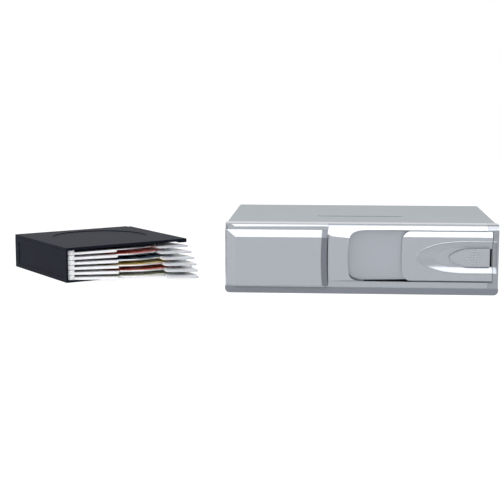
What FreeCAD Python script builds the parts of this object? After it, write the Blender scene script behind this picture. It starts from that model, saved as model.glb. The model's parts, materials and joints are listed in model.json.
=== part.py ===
import FreeCAD, Part
import os
import re
import Sketcher

# Car CD changer with a six-tray disc magazine standing beside it.
# +Z up, +X right, front towards -Y. The origin is the centre of the changer's base. Millimetres.

V = FreeCAD.Vector
doc = FreeCAD.newDocument("cd_changer")

# ---------------------------------------------------------------- driving sizes
sizes = {
    # steel case
    "case_wide": 257, "case_deep": 178, "case_tall": 66, "steel": 1.0,
    "cover_round": 3, "flange_gap": 4, "rear_flange": 14, "bezel_deep": 21,
    "mark_long": 84, "mark_high": 9, "mark_rise": 0.4, "mark_y": -14,
    "mount_pitch": 120, "mount_hole_r": 2.0, "mount_z": 8,
    "screw_r": 1.4, "screw_head_r": 2.8, "screw_head_tall": 1.0, "screw_long": 4.8, "fit_gap": 0.05,
    "screw_inset": 20.5, "screw_drop": 9,
    # front moulding, all depths counted back from the crown of the left panel
    "trim_tall": 6.5, "trim_wall": 1.5, "trim_back": 2.5, "trim_round": 4.5,
    "shell": 1.0, "running_gap": 0.4, "top_wall": 1.6, "bottom_wall": 1.4,
    "panel_below_top": 5.5, "panel_low": 7.6, "panel_bevel": 7, "panel_drop": 3.3, "panel_side_bevel": 9,
    "panel_left_of_ridge": 22.9, "strip_wide": 6.3, "strip_gap": 0.5, "strip_sink": 0.4, "edge_bow": 1.3,
    "seam": 0.15,
    "rim_back": 4, "rim_round": 3.5, "side_wall": 1.5,
    "ridge_left_of_bay": 6.3, "ridge_slope": 0.8, "band_below_top": 5.3, "band_low": 12.1,
    "band_back": 4.1, "band_top_back": 9, "low_band_back": 1.4, "low_band_foot": 2.6,
    "window_cut_x": 17, "window_cut_top": 7.5, "window_cut_low": 6, "window_bow": 1.4,
    # end cap
    "cap_wide": 10.3, "cap_tongue": 5.7, "cap_arm": 5, "cap_round": 3, "cap_wall": 1.5,
    # sliding door
    "door_wide": 84.7, "door_inset": 6.1, "door_flare": 7.5, "door_bow": 1.2, "door_sink": 2.9,
    "door_thick": 3.9, "door_flange": 1.2, "door_lip": 1.8, "door_foot": 1.0,
    "scoop_long": 74.2, "scoop_nose": 44.4, "scoop_drop": 0.9,
    "scoop_half": 14.9, "scoop_sink": 3.0, "scoop_inset": 2.1,
    "grip_long": 37.4, "grip_inset": 8.5, "grip_half": 8.5, "grip_tall": 1.5, "grip_travel": 1.0,
    "grip_drop": 0.3, "grip_nose": 20, "grip_rim": 0.5, "grip_peg_r": 1.2, "grip_peg_pitch": 16,
    "grip_peg_inset": 8,
    "leaf_long": 10, "leaf_wide": 4, "leaf_thick": 0.3, "leaf_tall": 0.85, "pocket_deep": 0.9,
    # inner shutter and its half-speed roller
    "shutter_gap": 1.4, "shutter_thick": 1.4, "shutter_lap": 2.0, "shutter_under": 14.7,
    "roller_pin_r": 0.6, "roller_tall": 1.2, "roller_inset": 8, "contact_gap": 0.04,
    # tracks and fascia
    "rail_thick": 1.5, "rail_rib_tall": 2.0, "rail_margin": 2,
    "fascia_gap": 0.3, "fascia_thick": 1.5,
    # magazine bay
    "bay_gap": 0.8, "bay_sheet": 1.2, "bay_floor_z": 18.1, "bay_inset": 7.2, "leg_r": 4, "leg_inset": 7,
    # magazine
    "mag_wide": 130, "mag_long": 138, "mag_tall": 35, "mag_wall": 2, "mag_floor": 1.9, "mag_lid": 2.8,
    "mag_x": -290, "mag_y": -45, "mag_turn": -53, "pin_in_x": 6.5, "pin_in_y": 7, "pin_r": 2.0,
    "lid_dish_r": 50, "lid_dish_deep": 0.8, "lid_notch": 4, "lid_block": 9, "lid_block_tall": 4.0,
    "face_margin": 9, "face_relief": 0.6,
    # trays and discs
    "tray_pitch": 5.0, "tray_tall": 3.0, "tray_floor": 1.0, "tray_r": 62, "tray_rest_z": 2.3,
    "hub_r": 4.6, "hub_tall": 4.5, "disc_r": 60, "disc_hole_r": 7.5, "disc_thick": 1.2, "disc_gap": 0.6,
    "disc_in_x": 66, "disc_in_y": 69.5, "key_r": 21, "key_turn": 9, "key_half": 17,
    "arm_reach": 52, "tip_reach": 66, "fan_first": 5, "fan_step": 4.6,
    # playing mechanism
    "frame_z": 2.5, "plate": 1.2, "frame_inset": 6.5, "frame_from_bay": 7.7, "damper_r": 6,
    "swing_out": 78, "deck_low_z": 34.5, "deck_in_frame": 4.5, "deck_from_bay": 11.7,
    "table_drop": 8, "table_r": 14, "table_thick": 1.5, "spin_r": 12, "spin_tall": 3.8,
    "table_hub_r": 7.3, "table_hub_tall": 2.0, "shaft_r": 1.5, "slip": 0.05,
    "post_r": 2.0, "bush_r": 4.5, "bush_tall": 10, "post_in_frame": 10, "post_front": -24, "post_back": 62,
    "lift_pin_r": 1.5, "lift_pin_drop": 14, "lift_pin_y": 17, "cam_run": 40, "level_count": 5,
    "cam_tall_over": 5, "cam_out": 2.0, "module_size": 0.6, "pinion_teeth": 12, "backlash": 0.16,
    "lift_motor_long": 19, "lift_motor_wide": 10,
    "sled_turn": -20, "sled_start": 16, "sled_long": 22, "sled_wide": 26, "sled_tall": 4,
    "sled_run": 26, "rod_r": 1.2, "rod_apart": 20, "screw_apart": 17, "rod_level": 3.5, "lens_r": 3,
    "lens_tall": 1.2, "bracket": 2.5, "sled_motor_long": 14, "sled_motor_wide": 9, "sled_motor_tall": 6.2,
    "screw_nose": 2,
    "clamp_below": 6, "clamp_disc_tall": 3.1, "clamp_from_wall": 10, "clamp_pin_drop": 16.5,
    "clamp_wide": 26, "clamp_pin_r": 1.5,
    "lever_from_bay": 37.7, "lever_from_pivot": 20.4, "lever_long": 30, "lever_wide": 7, "stud_drop": 4.6,
    # magazine pusher and eject key
    "pusher_wide": 30, "pusher_in_bay": 60.3,
    "key_inset": 6.3, "key_wide": 15, "key_tall": 4.2, "key_rod_r": 1.5, "key_rod_long": 40,
    # board, socket and dials
    "pusher_low": 24, "pusher_high": 48, "pusher_rod_r": 2, "lid_margin": 16,
    "board_left_in": 24.3, "board_right_in": 13.3, "board_front": -56, "board_back": 56, "board_thick": 1.6,
    "standoff": 4, "standoff_r": 3, "socket_inset": 36.5, "socket_r": 7.5, "socket_deep": 12,
    "dial_from_wall": 12, "dial_z": 33, "dial_r": 7.5, "dial_hub_r": 4, "dial_slot": 1.4,
}

# places worked out from the driving sizes
places = {
    "half": "case_wide / 2",
    "crown_y": "-case_deep / 2",
    "back_y": "case_deep / 2 - screw_head_tall",
    "wall_y": "back_y - steel",
    "body_y": "crown_y + bezel_deep",
    "roof_z": "case_tall - steel",
    "panel_high": "case_tall - panel_below_top",
    "band_high": "case_tall - band_below_top",
    "bay_right": "half - bay_inset",
    "bay_left": "bay_right - mag_wide - 2 * bay_gap",
    "ridge_x": "bay_left - ridge_left_of_bay",
    "panel_right": "ridge_x - panel_left_of_ridge",
    "band_end": "half - cap_wide",
    "cap_mid": "half - cap_tongue",
    "door_right": "half - door_inset",
    "door_left": "door_right - door_wide",
    "scoop_end": "half - scoop_inset",
    "scoop_tip": "scoop_end - scoop_long",
    "scoop_z": "(band_high + band_low) / 2 - scoop_drop",
    "grip_right": "half - grip_inset",
    "grip_tip": "grip_right - grip_long",
    "grip_z": "scoop_z - grip_drop",
    "screw_x": "half - screw_inset",
    "socket_x": "half - socket_inset",
    "socket_z": "bay_floor_z / 2",
    "seat_y": "crown_y + shell",
    "skin_y": "seat_y + shell",
    "slope": "panel_drop / panel_bevel",
    "panel_knee": "panel_high - panel_bevel",
    "skin_top_y": "skin_y + panel_drop",
    "tunnel_low": "trim_tall + bottom_wall",
    "tunnel_high": "case_tall - top_wall",
    "strip_right": "panel_right + strip_wide",
    "door_y": "crown_y + door_sink",
    "door_knee": "panel_knee + (door_y - skin_y - running_gap) / slope",
    "door_top_y": "skin_top_y + running_gap",
    "door_back_y": "door_y + door_thick",
    "shutter_y": "door_back_y + shutter_gap",
    "shutter_back_y": "shutter_y + shutter_thick",
    "rail_y": "shutter_back_y + running_gap",
    "fascia_y": "rail_y + rail_thick + fascia_gap",
    "fascia_back_y": "fascia_y + fascia_thick",
    "rail_floor": "tunnel_low + rail_thick",
    "door_low": "rail_floor + fascia_gap",
    "door_high": "band_high + door_lip",
    "scoop_curve": "(scoop_half * scoop_half + scoop_sink * scoop_sink) / (2 * scoop_sink)",
    "roller_y": "(door_back_y + rail_y) / 2",
    "roller_r": "(rail_y - door_back_y) / 2 - contact_gap",
    "bay_front": "fascia_back_y + fascia_gap",
    "bay_back": "bay_front + mag_long + bay_gap",
    "bay_top": "bay_floor_z + mag_tall + 2 * bay_gap",
    "pivot_x": "bay_left + bay_gap + pin_in_x",
    "pivot_y": "bay_front + pin_in_y",
    "reach_x": "disc_in_x - pin_in_x",
    "reach_y": "disc_in_y - pin_in_y",
    "reach": "sqrt(reach_x * reach_x + reach_y * reach_y)",
    "reach_angle": "atan(reach_y / reach_x) / 1 deg",
    "table_x": "pivot_x + reach * cos(reach_angle + swing_out)",
    "table_y": "pivot_y + reach * sin(reach_angle + swing_out)",
    "frame_left": "frame_inset - half",
    "frame_right": "bay_left - frame_from_bay",
    "deck_left": "frame_left + deck_in_frame",
    "deck_right": "bay_left - deck_from_bay",
    "post_x": "frame_left + post_in_frame",
    "lever_x": "bay_left - lever_from_bay",
    "lever_y": "pivot_y + lever_from_pivot",
    "clamp_pivot_y": "wall_y - clamp_from_wall",
    "dial_y": "wall_y - dial_from_wall",
    "pusher_x": "bay_left + pusher_in_bay",
    "pusher_room": "wall_y - steel - bay_back",
    "pusher_thick": "pusher_room * 0.135",
    "guide_y": "bay_back + pusher_room * 0.42",
    "guide_long": "pusher_room * 0.18",
    "key_x": "bay_right - key_inset - key_wide",
    "board_left": "bay_left + board_left_in",
    "board_right": "bay_right - board_right_in",
    "leaf_x": "grip_right - grip_peg_inset - grip_peg_pitch / 2",
    "shutter_left": "ridge_x - shutter_lap",
    "shutter_right": "door_left + shutter_under",
    "roller_x": "shutter_right - roller_inset",
    "frame_top": "frame_z + plate",
    "deck_z": "deck_low_z",
    "table_z": "deck_z - table_drop",
    "lift_run": "tray_pitch * level_count",
    "pin_z": "deck_z - lift_pin_drop",
    "cam_x": "frame_left - cam_out",
    "cam_slope": "lift_run / cam_run",
    "pinion_r": "module_size * pinion_teeth / 2",
    "pinion_z": "frame_top + pinion_r + module_size + fascia_gap",
    "rack_z": "pinion_z + pinion_r",
    "rod_z": "deck_z - rod_level",
    "clamp_top_z": "table_z - clamp_below",
    "case_in": "half - 2 * steel",
    "clamp_pin_z": "deck_z - clamp_pin_drop",
    "stud_z": "pin_z - stud_drop",
    "ramp_angle": "atan(cam_slope) / 1 deg",
    "lens_y": "sled_start + lens_r + 5",
    "pusher_z": "(pusher_low + pusher_high) / 2",
    "key_mid": "key_x + key_wide / 2",
    "key_rod_z": "bay_floor_z - key_tall / 2 - fascia_gap - 1",
    "hinge_x": "mag_x - cos(mag_turn) * pin_in_x - sin(mag_turn) * pin_in_y",
    "hinge_y": "mag_y - sin(mag_turn) * pin_in_x + cos(mag_turn) * pin_in_y",
}

names_in_formulas = {"sqrt", "atan", "sin", "cos", "deg"}


def linked(text):
    # names in a formula become references to their cells
    def cell(match):
        word = match.group(0)
        if word in names_in_formulas:
            return word
        return ("sizes." if word in sizes else "places.") + word
    return re.sub(r"[a-z][a-z_0-9]*", cell, str(text))


sheet = doc.addObject("Spreadsheet::Sheet", "sizes")
for row, (name, number) in enumerate(sizes.items(), 1):
    sheet.set(f"A{row}", name)
    sheet.set(f"B{row}", str(number))
    sheet.setAlias(f"B{row}", name)
doc.recompute()
spots = doc.addObject("Spreadsheet::Sheet", "places")
for row, (name, formula) in enumerate(places.items(), 1):
    spots.set(f"A{row}", name)
    spots.setAlias(f"B{row}", name)
    spots.set(f"B{row}", "=" + linked(formula))
    doc.recompute()


def value(text):
    return float(sheet.evalExpression(linked(text)))



# ---------------------------------------------------------------- modelling helpers
def bound(thing, name, text):
    thing.setExpression(name, linked(text))
    return thing


def turned(thing, axis, angle):
    thing.Placement = FreeCAD.Placement(V(0, 0, 0), FreeCAD.Rotation(axis, angle))
    return thing


def at(thing, x, y, z):
    bound(thing, ".Placement.Base.x", x)
    bound(thing, ".Placement.Base.y", y)
    return bound(thing, ".Placement.Base.z", z)


def spun(thing, angle, x, y, z):
    # turn about the upright axis, then move
    whole = turned(group(thing), V(0, 0, 1), 30)
    bound(whole, ".Placement.Rotation.Angle", f"({angle}) * 1 deg")
    return at(whole, x, y, z)


def block(x0, x1, y0, y1, z0, z1):
    box = doc.addObject("Part::Box", "block")
    bound(box, "Length", f"({x1}) - ({x0})")
    bound(box, "Width", f"({y1}) - ({y0})")
    bound(box, "Height", f"({z1}) - ({z0})")
    return at(box, x0, y0, z0)


def rod(axis, radius, first, second, low, high):
    # axis x takes y and z of the centre, y takes x and z, z takes x and y
    cylinder = doc.addObject("Part::Cylinder", "rod")
    bound(cylinder, "Radius", radius)
    bound(cylinder, "Height", f"({high}) - ({low})")
    if axis == "x":
        turned(cylinder, V(0, 1, 0), 90)
        return at(cylinder, low, first, second)
    if axis == "y":
        turned(cylinder, V(1, 0, 0), -90)
        return at(cylinder, first, low, second)
    return at(cylinder, first, second, low)


def fuse(*things):
    joined = doc.addObject("Part::MultiFuse", "joined")
    joined.Shapes = list(things)
    joined.Refine = True
    return joined


def cut(base, *tools):
    result = doc.addObject("Part::Cut", "cut")
    result.Base = base
    result.Tool = tools[0] if len(tools) == 1 else fuse(*tools)
    return result


def common(*things):
    result = doc.addObject("Part::MultiCommon", "common")
    result.Shapes = list(things)
    return result


def group(*things):
    result = doc.addObject("Part::Compound", "group")
    result.Links = list(things)
    return result


def drawn(plane, path):
    # a body with one closed sketch on XY, XZ or YZ through its origin
    # path holds corners (u, v), and (um, vm, u, v) for an arc through a middle point
    body = doc.addObject("PartDesign::Body", "profile")
    support = [f for f in body.Origin.OriginFeatures if f.Role == plane + "_Plane"][0]
    sketch = body.newObject("Sketcher::SketchObject", "sketch")
    sketch.AttachmentSupport = [(support, "")]
    sketch.MapMode = "FlatFace"

    def corner(u, v):
        return V(value(u), value(v), 0)

    def pinned(geometry, end, u, v):
        for kind, text, number in (("DistanceX", u, value(u)), ("DistanceY", v, value(v))):
            index = sketch.addConstraint(Sketcher.Constraint(kind, -1, 1, geometry, end, number))
            bound(sketch, f"Constraints[{index}]", text)

    start = path[0]
    ends = []
    closing = [] if path[-1][-2:] == start[-2:] else [start]
    for step in path[1:] + closing:
        a, b = corner(*start[-2:]), corner(*step[-2:])
        if len(step) == 4:
            # a sketch arc runs anticlockwise, so a clockwise one is drawn from its far end
            middle = corner(*step[:2])
            forwards = (middle - a).cross(b - middle).z > 0
            arc = Part.Arc(a, middle, b) if forwards else Part.Arc(b, middle, a)
            index = sketch.addGeometry(arc)
            through = sketch.addGeometry(Part.Point(middle), True)
            pinned(through, 1, step[0], step[1])
            sketch.addConstraint(Sketcher.Constraint("PointOnObject", through, 1, index))
            ends.append((index, 1 if forwards else 2, 2 if forwards else 1, start))
        else:
            index = sketch.addGeometry(Part.LineSegment(a, b))
            ends.append((index, 1, 2, start))
        start = step
    for (geometry, first, last, where), (follower, next_first, _, _) in zip(ends, ends[1:] + ends[:1]):
        pinned(geometry, first, where[-2], where[-1])
        sketch.addConstraint(Sketcher.Constraint("Coincident", geometry, last, follower, next_first))
    return body, sketch


def outline(plane, path, low, high):
    # a sketch padded from low to high along the plane's own axis
    body, sketch = drawn(plane, path)
    bound(sketch, ".AttachmentOffset.Base.z", f"-({high})" if plane == "XZ" else low)
    pad = body.newObject("PartDesign::Pad", "pad")
    pad.Profile = sketch
    bound(pad, "Length", f"({high}) - ({low})")
    return body


def turned_profile(path, x, y, z):
    # a profile of (length, radius) points revolved about the X direction through a point
    body, sketch = drawn("XY", path)
    turn = body.newObject("PartDesign::Revolution", "turn")
    turn.Profile = sketch
    turn.ReferenceAxis = (sketch, ["H_Axis"])
    turn.Angle = 360
    return at(body, x, y, z)


nodes = {}


def node(name, thing):
    thing.Label = name
    nodes[name] = thing
    return thing


# ---------------------------------------------------------------- steel case
def chassis_base():
    tray = cut(block("steel - half", "half - steel", "body_y", "back_y - steel", "0", "roof_z - cover_round"),
               block("2 * steel - half", "case_in", "body_y - 1", "wall_y - steel", "steel", "case_tall"))
    top_of_rear = block("cover_round - half", "half - cover_round", "wall_y - steel", "wall_y",
                        "roof_z - cover_round", "roof_z")
    holes = [rod("x", "mount_hole_r", y, "mount_z", "-half - 1", "half + 1")
             for y in ("mount_pitch / 2", "-mount_pitch / 2")]
    holes += [rod("y", "screw_r + fit_gap", x, "roof_z - screw_drop", "wall_y - 3", "back_y + 1")
              for x in ("-screw_x", "0", "screw_x")]
    holes.append(rod("x", "dial_hub_r + running_gap", "dial_y", "dial_z", "-half - 1", "half + 1"))
    holes.append(rod("y", "socket_r + fit_gap", "socket_x", "socket_z", "wall_y - 3", "back_y + 1"))
    node("chassis_base", fuse(cut(fuse(tray, top_of_rear), *holes), *board_posts()))


def top_cover():
    bend, inner = "cover_round", "cover_round - steel"
    hat = outline("XZ", [
        ("-half", "flange_gap"), ("-half", f"case_tall - {bend}"),
        (f"-half + {bend} * 0.2929", f"case_tall - {bend} * 0.2929", f"-half + {bend}", "case_tall"),
        (f"half - {bend}", "case_tall"),
        (f"half - {bend} * 0.2929", f"case_tall - {bend} * 0.2929", "half", f"case_tall - {bend}"),
        ("half", "flange_gap"), ("half - steel", "flange_gap"), ("half - steel", f"roof_z - ({inner})"),
        (f"half - steel - ({inner}) * 0.2929", f"roof_z - ({inner}) * 0.2929",
         f"half - steel - ({inner})", "roof_z"),
        (f"steel - half + ({inner})", "roof_z"),
        (f"steel - half + ({inner}) * 0.2929", f"roof_z - ({inner}) * 0.2929",
         "steel - half", f"roof_z - ({inner})"),
        ("steel - half", "flange_gap")], "body_y", "back_y")
    flange = block("cover_round - half", "half - cover_round", "wall_y", "back_y",
                   "case_tall - rear_flange", "roof_z")
    end = "mark_long / 2 - mark_high / 2"
    mark = outline("XY", [
        (f"-({end})", "mark_y - mark_high / 2"), (end, "mark_y - mark_high / 2"),
        ("mark_long / 2", "mark_y", end, "mark_y + mark_high / 2"),
        (f"-({end})", "mark_y + mark_high / 2"),
        ("-mark_long / 2", "mark_y", f"-({end})", "mark_y - mark_high / 2")],
        "case_tall - steel / 2", "case_tall + mark_rise")
    holes = [rod("x", "mount_hole_r", y, "mount_z", "-half - 1", "half + 1")
             for y in ("mount_pitch / 2", "-mount_pitch / 2")]
    holes += [rod("y", "screw_r + fit_gap", x, "roof_z - screw_drop", "wall_y - 3", "back_y + 1")
              for x in ("-screw_x", "0", "screw_x")]
    holes.append(rod("x", "dial_r + running_gap", "dial_y", "dial_z", "-half - 1", "half + 1"))
    node("top_cover", cut(fuse(hat, flange, mark), *holes))


def case_screws():
    screws = [fuse(rod("y", "screw_head_r", x, "roof_z - screw_drop", "back_y", "back_y + screw_head_tall"),
                   rod("y", "screw_r", x, "roof_z - screw_drop", "back_y - screw_long", "back_y"))
              for x in ("-screw_x", "0", "screw_x")]
    node("case_screws", group(*screws))


def angle_dials():
    # a disc flush with the cover, turned by a coin, with a hub running in the chassis wall
    for side, sign in (("left", "-"), ("right", "")):
        face, back = f"{sign}half", f"{sign}(half - steel)"
        inside = f"{sign}(half - 2 * steel - dial_slot)"
        low, high = (face, back) if sign else (back, face)
        hub_low, hub_high = (back, inside) if sign else (inside, back)
        knob = fuse(rod("x", "dial_r", "dial_y", "dial_z", low, high),
                    rod("x", "dial_hub_r", "dial_y", "dial_z", hub_low, hub_high))
        groove = block(f"{low} - 0.5" if sign else f"{high} - steel / 2",
                       f"{low} + steel / 2" if sign else f"{high} + 0.5",
                       "dial_y - dial_slot / 2", "dial_y + dial_slot / 2",
                       "dial_z - dial_r * 0.7", "dial_z + dial_r * 0.7")
        node(f"angle_dial_{side}", cut(knob, groove))


# ---------------------------------------------------------------- front moulding
def lower_trim():
    r = "trim_round"
    shell = outline("XZ", [
        ("-half", "trim_tall"), ("-half", r),
        (f"-half + {r} * 0.2929", f"{r} * 0.2929", f"-half + {r}", "0"),
        (f"half - {r}", "0"), (f"half - {r} * 0.2929", f"{r} * 0.2929", "half", r),
        ("half", "trim_tall")], "crown_y + trim_back", "body_y")
    hollow = block("trim_round - half", "half - trim_round", "crown_y + trim_back + trim_wall", "body_y + 1",
                   "trim_wall", "trim_tall + 1")
    node("lower_trim", cut(shell, hollow))


def left_plan(back):
    # plan of the left side: straight front with a soft bevel towards the end
    return outline("XY", [
        ("-half", "body_y"), ("-half", f"crown_y + {back} + panel_side_bevel"),
        (f"-half + 0.35", f"crown_y + {back} + panel_drop + 2", f"-half + 1.2",
         f"crown_y + {back} + panel_drop"),
        ("-half + panel_side_bevel + 1.2", f"crown_y + {back}"), ("half", f"crown_y + {back}"),
        ("half", "body_y")], "trim_tall", "case_tall")


def front_left(back, right, low, high):
    # solid behind the pillow panel's face, its depth counted from the crown
    side = outline("YZ", [
        ("body_y", low), (f"crown_y + {back}", low), (f"crown_y + {back}", "panel_knee"),
        (f"crown_y + {back} + slope * ({high} - panel_knee)", high), ("body_y", high)], "-half", right)
    return common(side, left_plan(back))


def bowed(low_x, high_x, low, high, left_bow, right_bow):
    # front outline whose upright edges bow by a little, positive to the left
    middle = f"(({low}) + ({high})) / 2"
    right_edge = (f"({high_x}) - ({right_bow})", middle, high_x, high) if right_bow else (high_x, high)
    left_edge = (f"({low_x}) - ({left_bow})", middle, low_x, low) if left_bow else (low_x, low)
    return outline("XZ", [(low_x, low), (high_x, low), right_edge, (low_x, high), left_edge],
                   "crown_y - 3", "body_y")


def front_bezel():
    wall = front_left("shell", "strip_right", "trim_tall", "panel_high")
    rim_side = outline("YZ", [
        ("body_y", "panel_high"), ("crown_y + rim_back", "panel_high"),
        ("crown_y + rim_back", "case_tall - rim_round"),
        ("crown_y + rim_back + rim_round * 0.2929", "case_tall - rim_round * 0.2929",
         "crown_y + rim_back + rim_round", "case_tall"), ("body_y", "case_tall")], "-half", "strip_right")
    rim = common(rim_side, left_plan("rim_back"))
    right_side = outline("YZ", [
        ("body_y", "trim_tall"), ("crown_y + low_band_foot", "trim_tall"),
        ("crown_y + low_band_back", "band_low"), ("crown_y", "band_low + low_band_back"),
        ("crown_y", "panel_knee"), ("crown_y + band_back", "band_high"),
        ("crown_y + band_top_back * 0.75", "case_tall - 1.4", "crown_y + band_top_back", "case_tall"),
        ("body_y", "case_tall")], "strip_right - edge_bow - 1", "band_end")
    right_front = bowed("strip_right", "band_end", "trim_tall", "case_tall", "edge_bow", None)
    slope_cut = outline("XY", [
        ("strip_right - edge_bow - 2", "crown_y - 3"), ("ridge_x", "crown_y - 3"), ("ridge_x", "crown_y"),
        ("strip_right + 3", "crown_y + ridge_slope"), ("strip_right - edge_bow - 2",
                                                       "crown_y + ridge_slope + 2.2")],
        "trim_tall - 1", "case_tall + 1")
    tunnel = outline("YZ", [
        ("body_y + 1", "tunnel_low"), ("skin_top_y", "tunnel_low"), ("skin_top_y", "band_low"),
        ("skin_y", "band_low"), ("skin_y", "panel_knee"), ("skin_top_y", "panel_high"),
        ("skin_top_y", "tunnel_high - 1.5"), ("skin_top_y + 2.5", "tunnel_high"), ("body_y + 1",
                                                                                   "tunnel_high")],
        "side_wall - half", "band_end + 1")
    corner_left = block("-half - 1", "side_wall - half + panel_side_bevel + 2", "crown_y - 1",
                        "crown_y + panel_drop + 2 * shell + 1.5", "0", "case_tall")
    window = outline("XZ", [
        ("ridge_x + 0.7", "band_low + window_cut_low"), ("ridge_x + window_cut_x", "band_low"),
        ("band_end + 5", "band_low"), ("band_end + 5", "band_high"),
        ("ridge_x + window_cut_x", "band_high"), ("ridge_x + 0.7", "band_high - window_cut_top"),
        ("ridge_x - window_bow + 0.7", "(band_high + band_low) / 2", "ridge_x + 0.7",
         "band_low + window_cut_low")],
        "crown_y - 3", "body_y + 1")
    solid = cut(fuse(wall, rim, common(right_side, right_front)), slope_cut, cut(tunnel, corner_left), window)
    node("front_bezel", solid)


def left_panel():
    # moulded pillow plate seated on the bezel's left wall
    whole = front_left("0", "panel_right", "panel_low", "panel_high")
    inner = front_left("shell", "panel_right + 2", "panel_low - 1", "panel_high + 1")
    edge = bowed("-half + 1.2", "panel_right", "panel_low", "panel_high", None, "edge_bow")
    node("left_panel", cut(common(whole, edge), inner))


def accent_strip():
    whole = front_left("strip_sink", "strip_right", "panel_low", "panel_high")
    inner = front_left("shell", "strip_right + 2", "panel_low - 1", "panel_high + 1")
    edge = bowed("panel_right + seam", "strip_right - strip_gap", "panel_low", "panel_high", "edge_bow",
                 "edge_bow")
    node("accent_strip", cut(common(whole, edge), inner))


def scoop():
    # bullet-shaped hollow: a barrel whose axis lies in front of the door, its nose swelling in an arc
    return turned_profile([
        ("scoop_tip", "0"), ("scoop_end", "0"), ("scoop_end", "scoop_curve"),
        ("scoop_tip + scoop_nose", "scoop_curve"),
        ("scoop_tip + scoop_nose / 2", "scoop_curve - scoop_sink / 4",
         "scoop_tip", "scoop_curve - scoop_sink")], "0", "door_y + scoop_sink - scoop_curve", "scoop_z")


def sliding_door():
    side = outline("YZ", [
        ("door_back_y", "door_low"), ("door_back_y - door_flange", "door_low"),
        ("door_back_y - door_flange", "band_low + fascia_gap"), ("door_y + door_foot",
                                                                 "band_low + fascia_gap"),
        ("door_y", "band_low + fascia_gap + door_foot"), ("door_y", "door_knee"),
        ("door_top_y", "band_high - 0.1"), ("door_back_y - door_flange", "band_high - 0.1"),
        ("door_back_y - door_flange", "door_high"), ("door_back_y", "door_high")],
        "door_left - door_bow - 1", "door_right")
    low, high = "band_low", "band_high"
    front = outline("XZ", [
        ("door_left + door_flare", "door_low"), ("door_right", "door_low"), ("door_right", "door_high"),
        ("door_left + door_flare", "door_high"), ("door_left + door_flare", high),
        ("door_left + 1.4", f"{high} - 5", "door_left + 0.6", f"{high} - 9"),
        ("door_left - 0.2", f"(({low}) + ({high})) / 2", "door_left + 0.6", f"{low} + 9"),
        ("door_left + 1.4", f"{low} + 5", "door_left + door_flare", low)], "crown_y", "door_back_y + 1")
    slot = block("grip_right + fascia_gap", "door_right - fascia_gap", "door_y - 3", "door_back_y + 1",
                 "grip_z - grip_half", "grip_z + grip_half")
    pegs = [rod("y", "grip_peg_r + slip", x, "grip_z", "door_y", "door_back_y + 1") for x in grip_pegs]
    well = outline("XZ", grip_outline("-running_gap"), "crown_y", "door_y + scoop_sink + 0.1")
    node("sliding_door", cut(common(side, front), scoop(), well, slot, *pegs))


grip_pegs = ("grip_right - grip_peg_inset", "grip_right - grip_peg_inset - grip_peg_pitch")


def grip_outline(inset):
    # blunt pointed outline: straight back, two long flanks and a small round tip
    half, nose = f"(grip_half - ({inset}))", "(grip_tip + grip_nose)"
    right, tip = f"grip_right - ({inset})", f"grip_tip + ({inset})"
    shoulder, flank = f"{tip} + grip_nose * 0.11", f"{tip} + grip_nose * 0.55"
    return [(right, f"grip_z - {half}"), (nose, f"grip_z - {half}"),
            (flank, f"grip_z - {half} * 0.86", shoulder, f"grip_z - {half} * 0.4"),
            (tip, "grip_z", shoulder, f"grip_z + {half} * 0.4"),
            (flank, f"grip_z + {half} * 0.86", nose, f"grip_z + {half}"), (right, f"grip_z + {half}")]


def thumb_grip():
    # press pad with a bevelled rim, sliding on two pegs, its back hollowed for the leaf spring
    floor = "door_y + scoop_sink"
    face = f"{floor} - grip_travel - grip_tall - 0.1"
    base = outline("XZ", grip_outline("0"), f"{face} + grip_rim", f"{face} + grip_tall")
    top = outline("XZ", grip_outline("grip_rim"), face, f"{face} + grip_rim + 0.1")
    pocket = block("leaf_x - leaf_long / 2 - 0.5", "leaf_x + leaf_long / 2 + 0.5",
                   f"{face} + grip_tall - pocket_deep", f"{face} + grip_tall + 1",
                   "grip_z - leaf_wide / 2 - 0.4", "grip_z + leaf_wide / 2 + 0.4")
    pegs = [rod("y", "grip_peg_r", x, "grip_z", f"{face} + grip_tall - 0.2", "door_back_y - 0.2")
            for x in grip_pegs]
    node("thumb_grip", fuse(cut(fuse(base, top), pocket), *pegs))


def grip_spring():
    # arched leaf standing on the scoop's floor inside the pad's pocket
    floor, half = "door_y + scoop_sink", "leaf_long / 2"
    node("grip_spring", outline("XY", [
        (f"leaf_x - {half}", f"{floor} - 0.02"), (f"leaf_x - {half}", f"{floor} - leaf_thick"),
        ("leaf_x", f"{floor} - leaf_tall"), (f"leaf_x + {half}", f"{floor} - leaf_thick"),
        (f"leaf_x + {half}", f"{floor} - 0.02"), ("leaf_x", f"{floor} - leaf_tall + leaf_thick")],
        "grip_z - leaf_wide / 2", "grip_z + leaf_wide / 2"))


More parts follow.
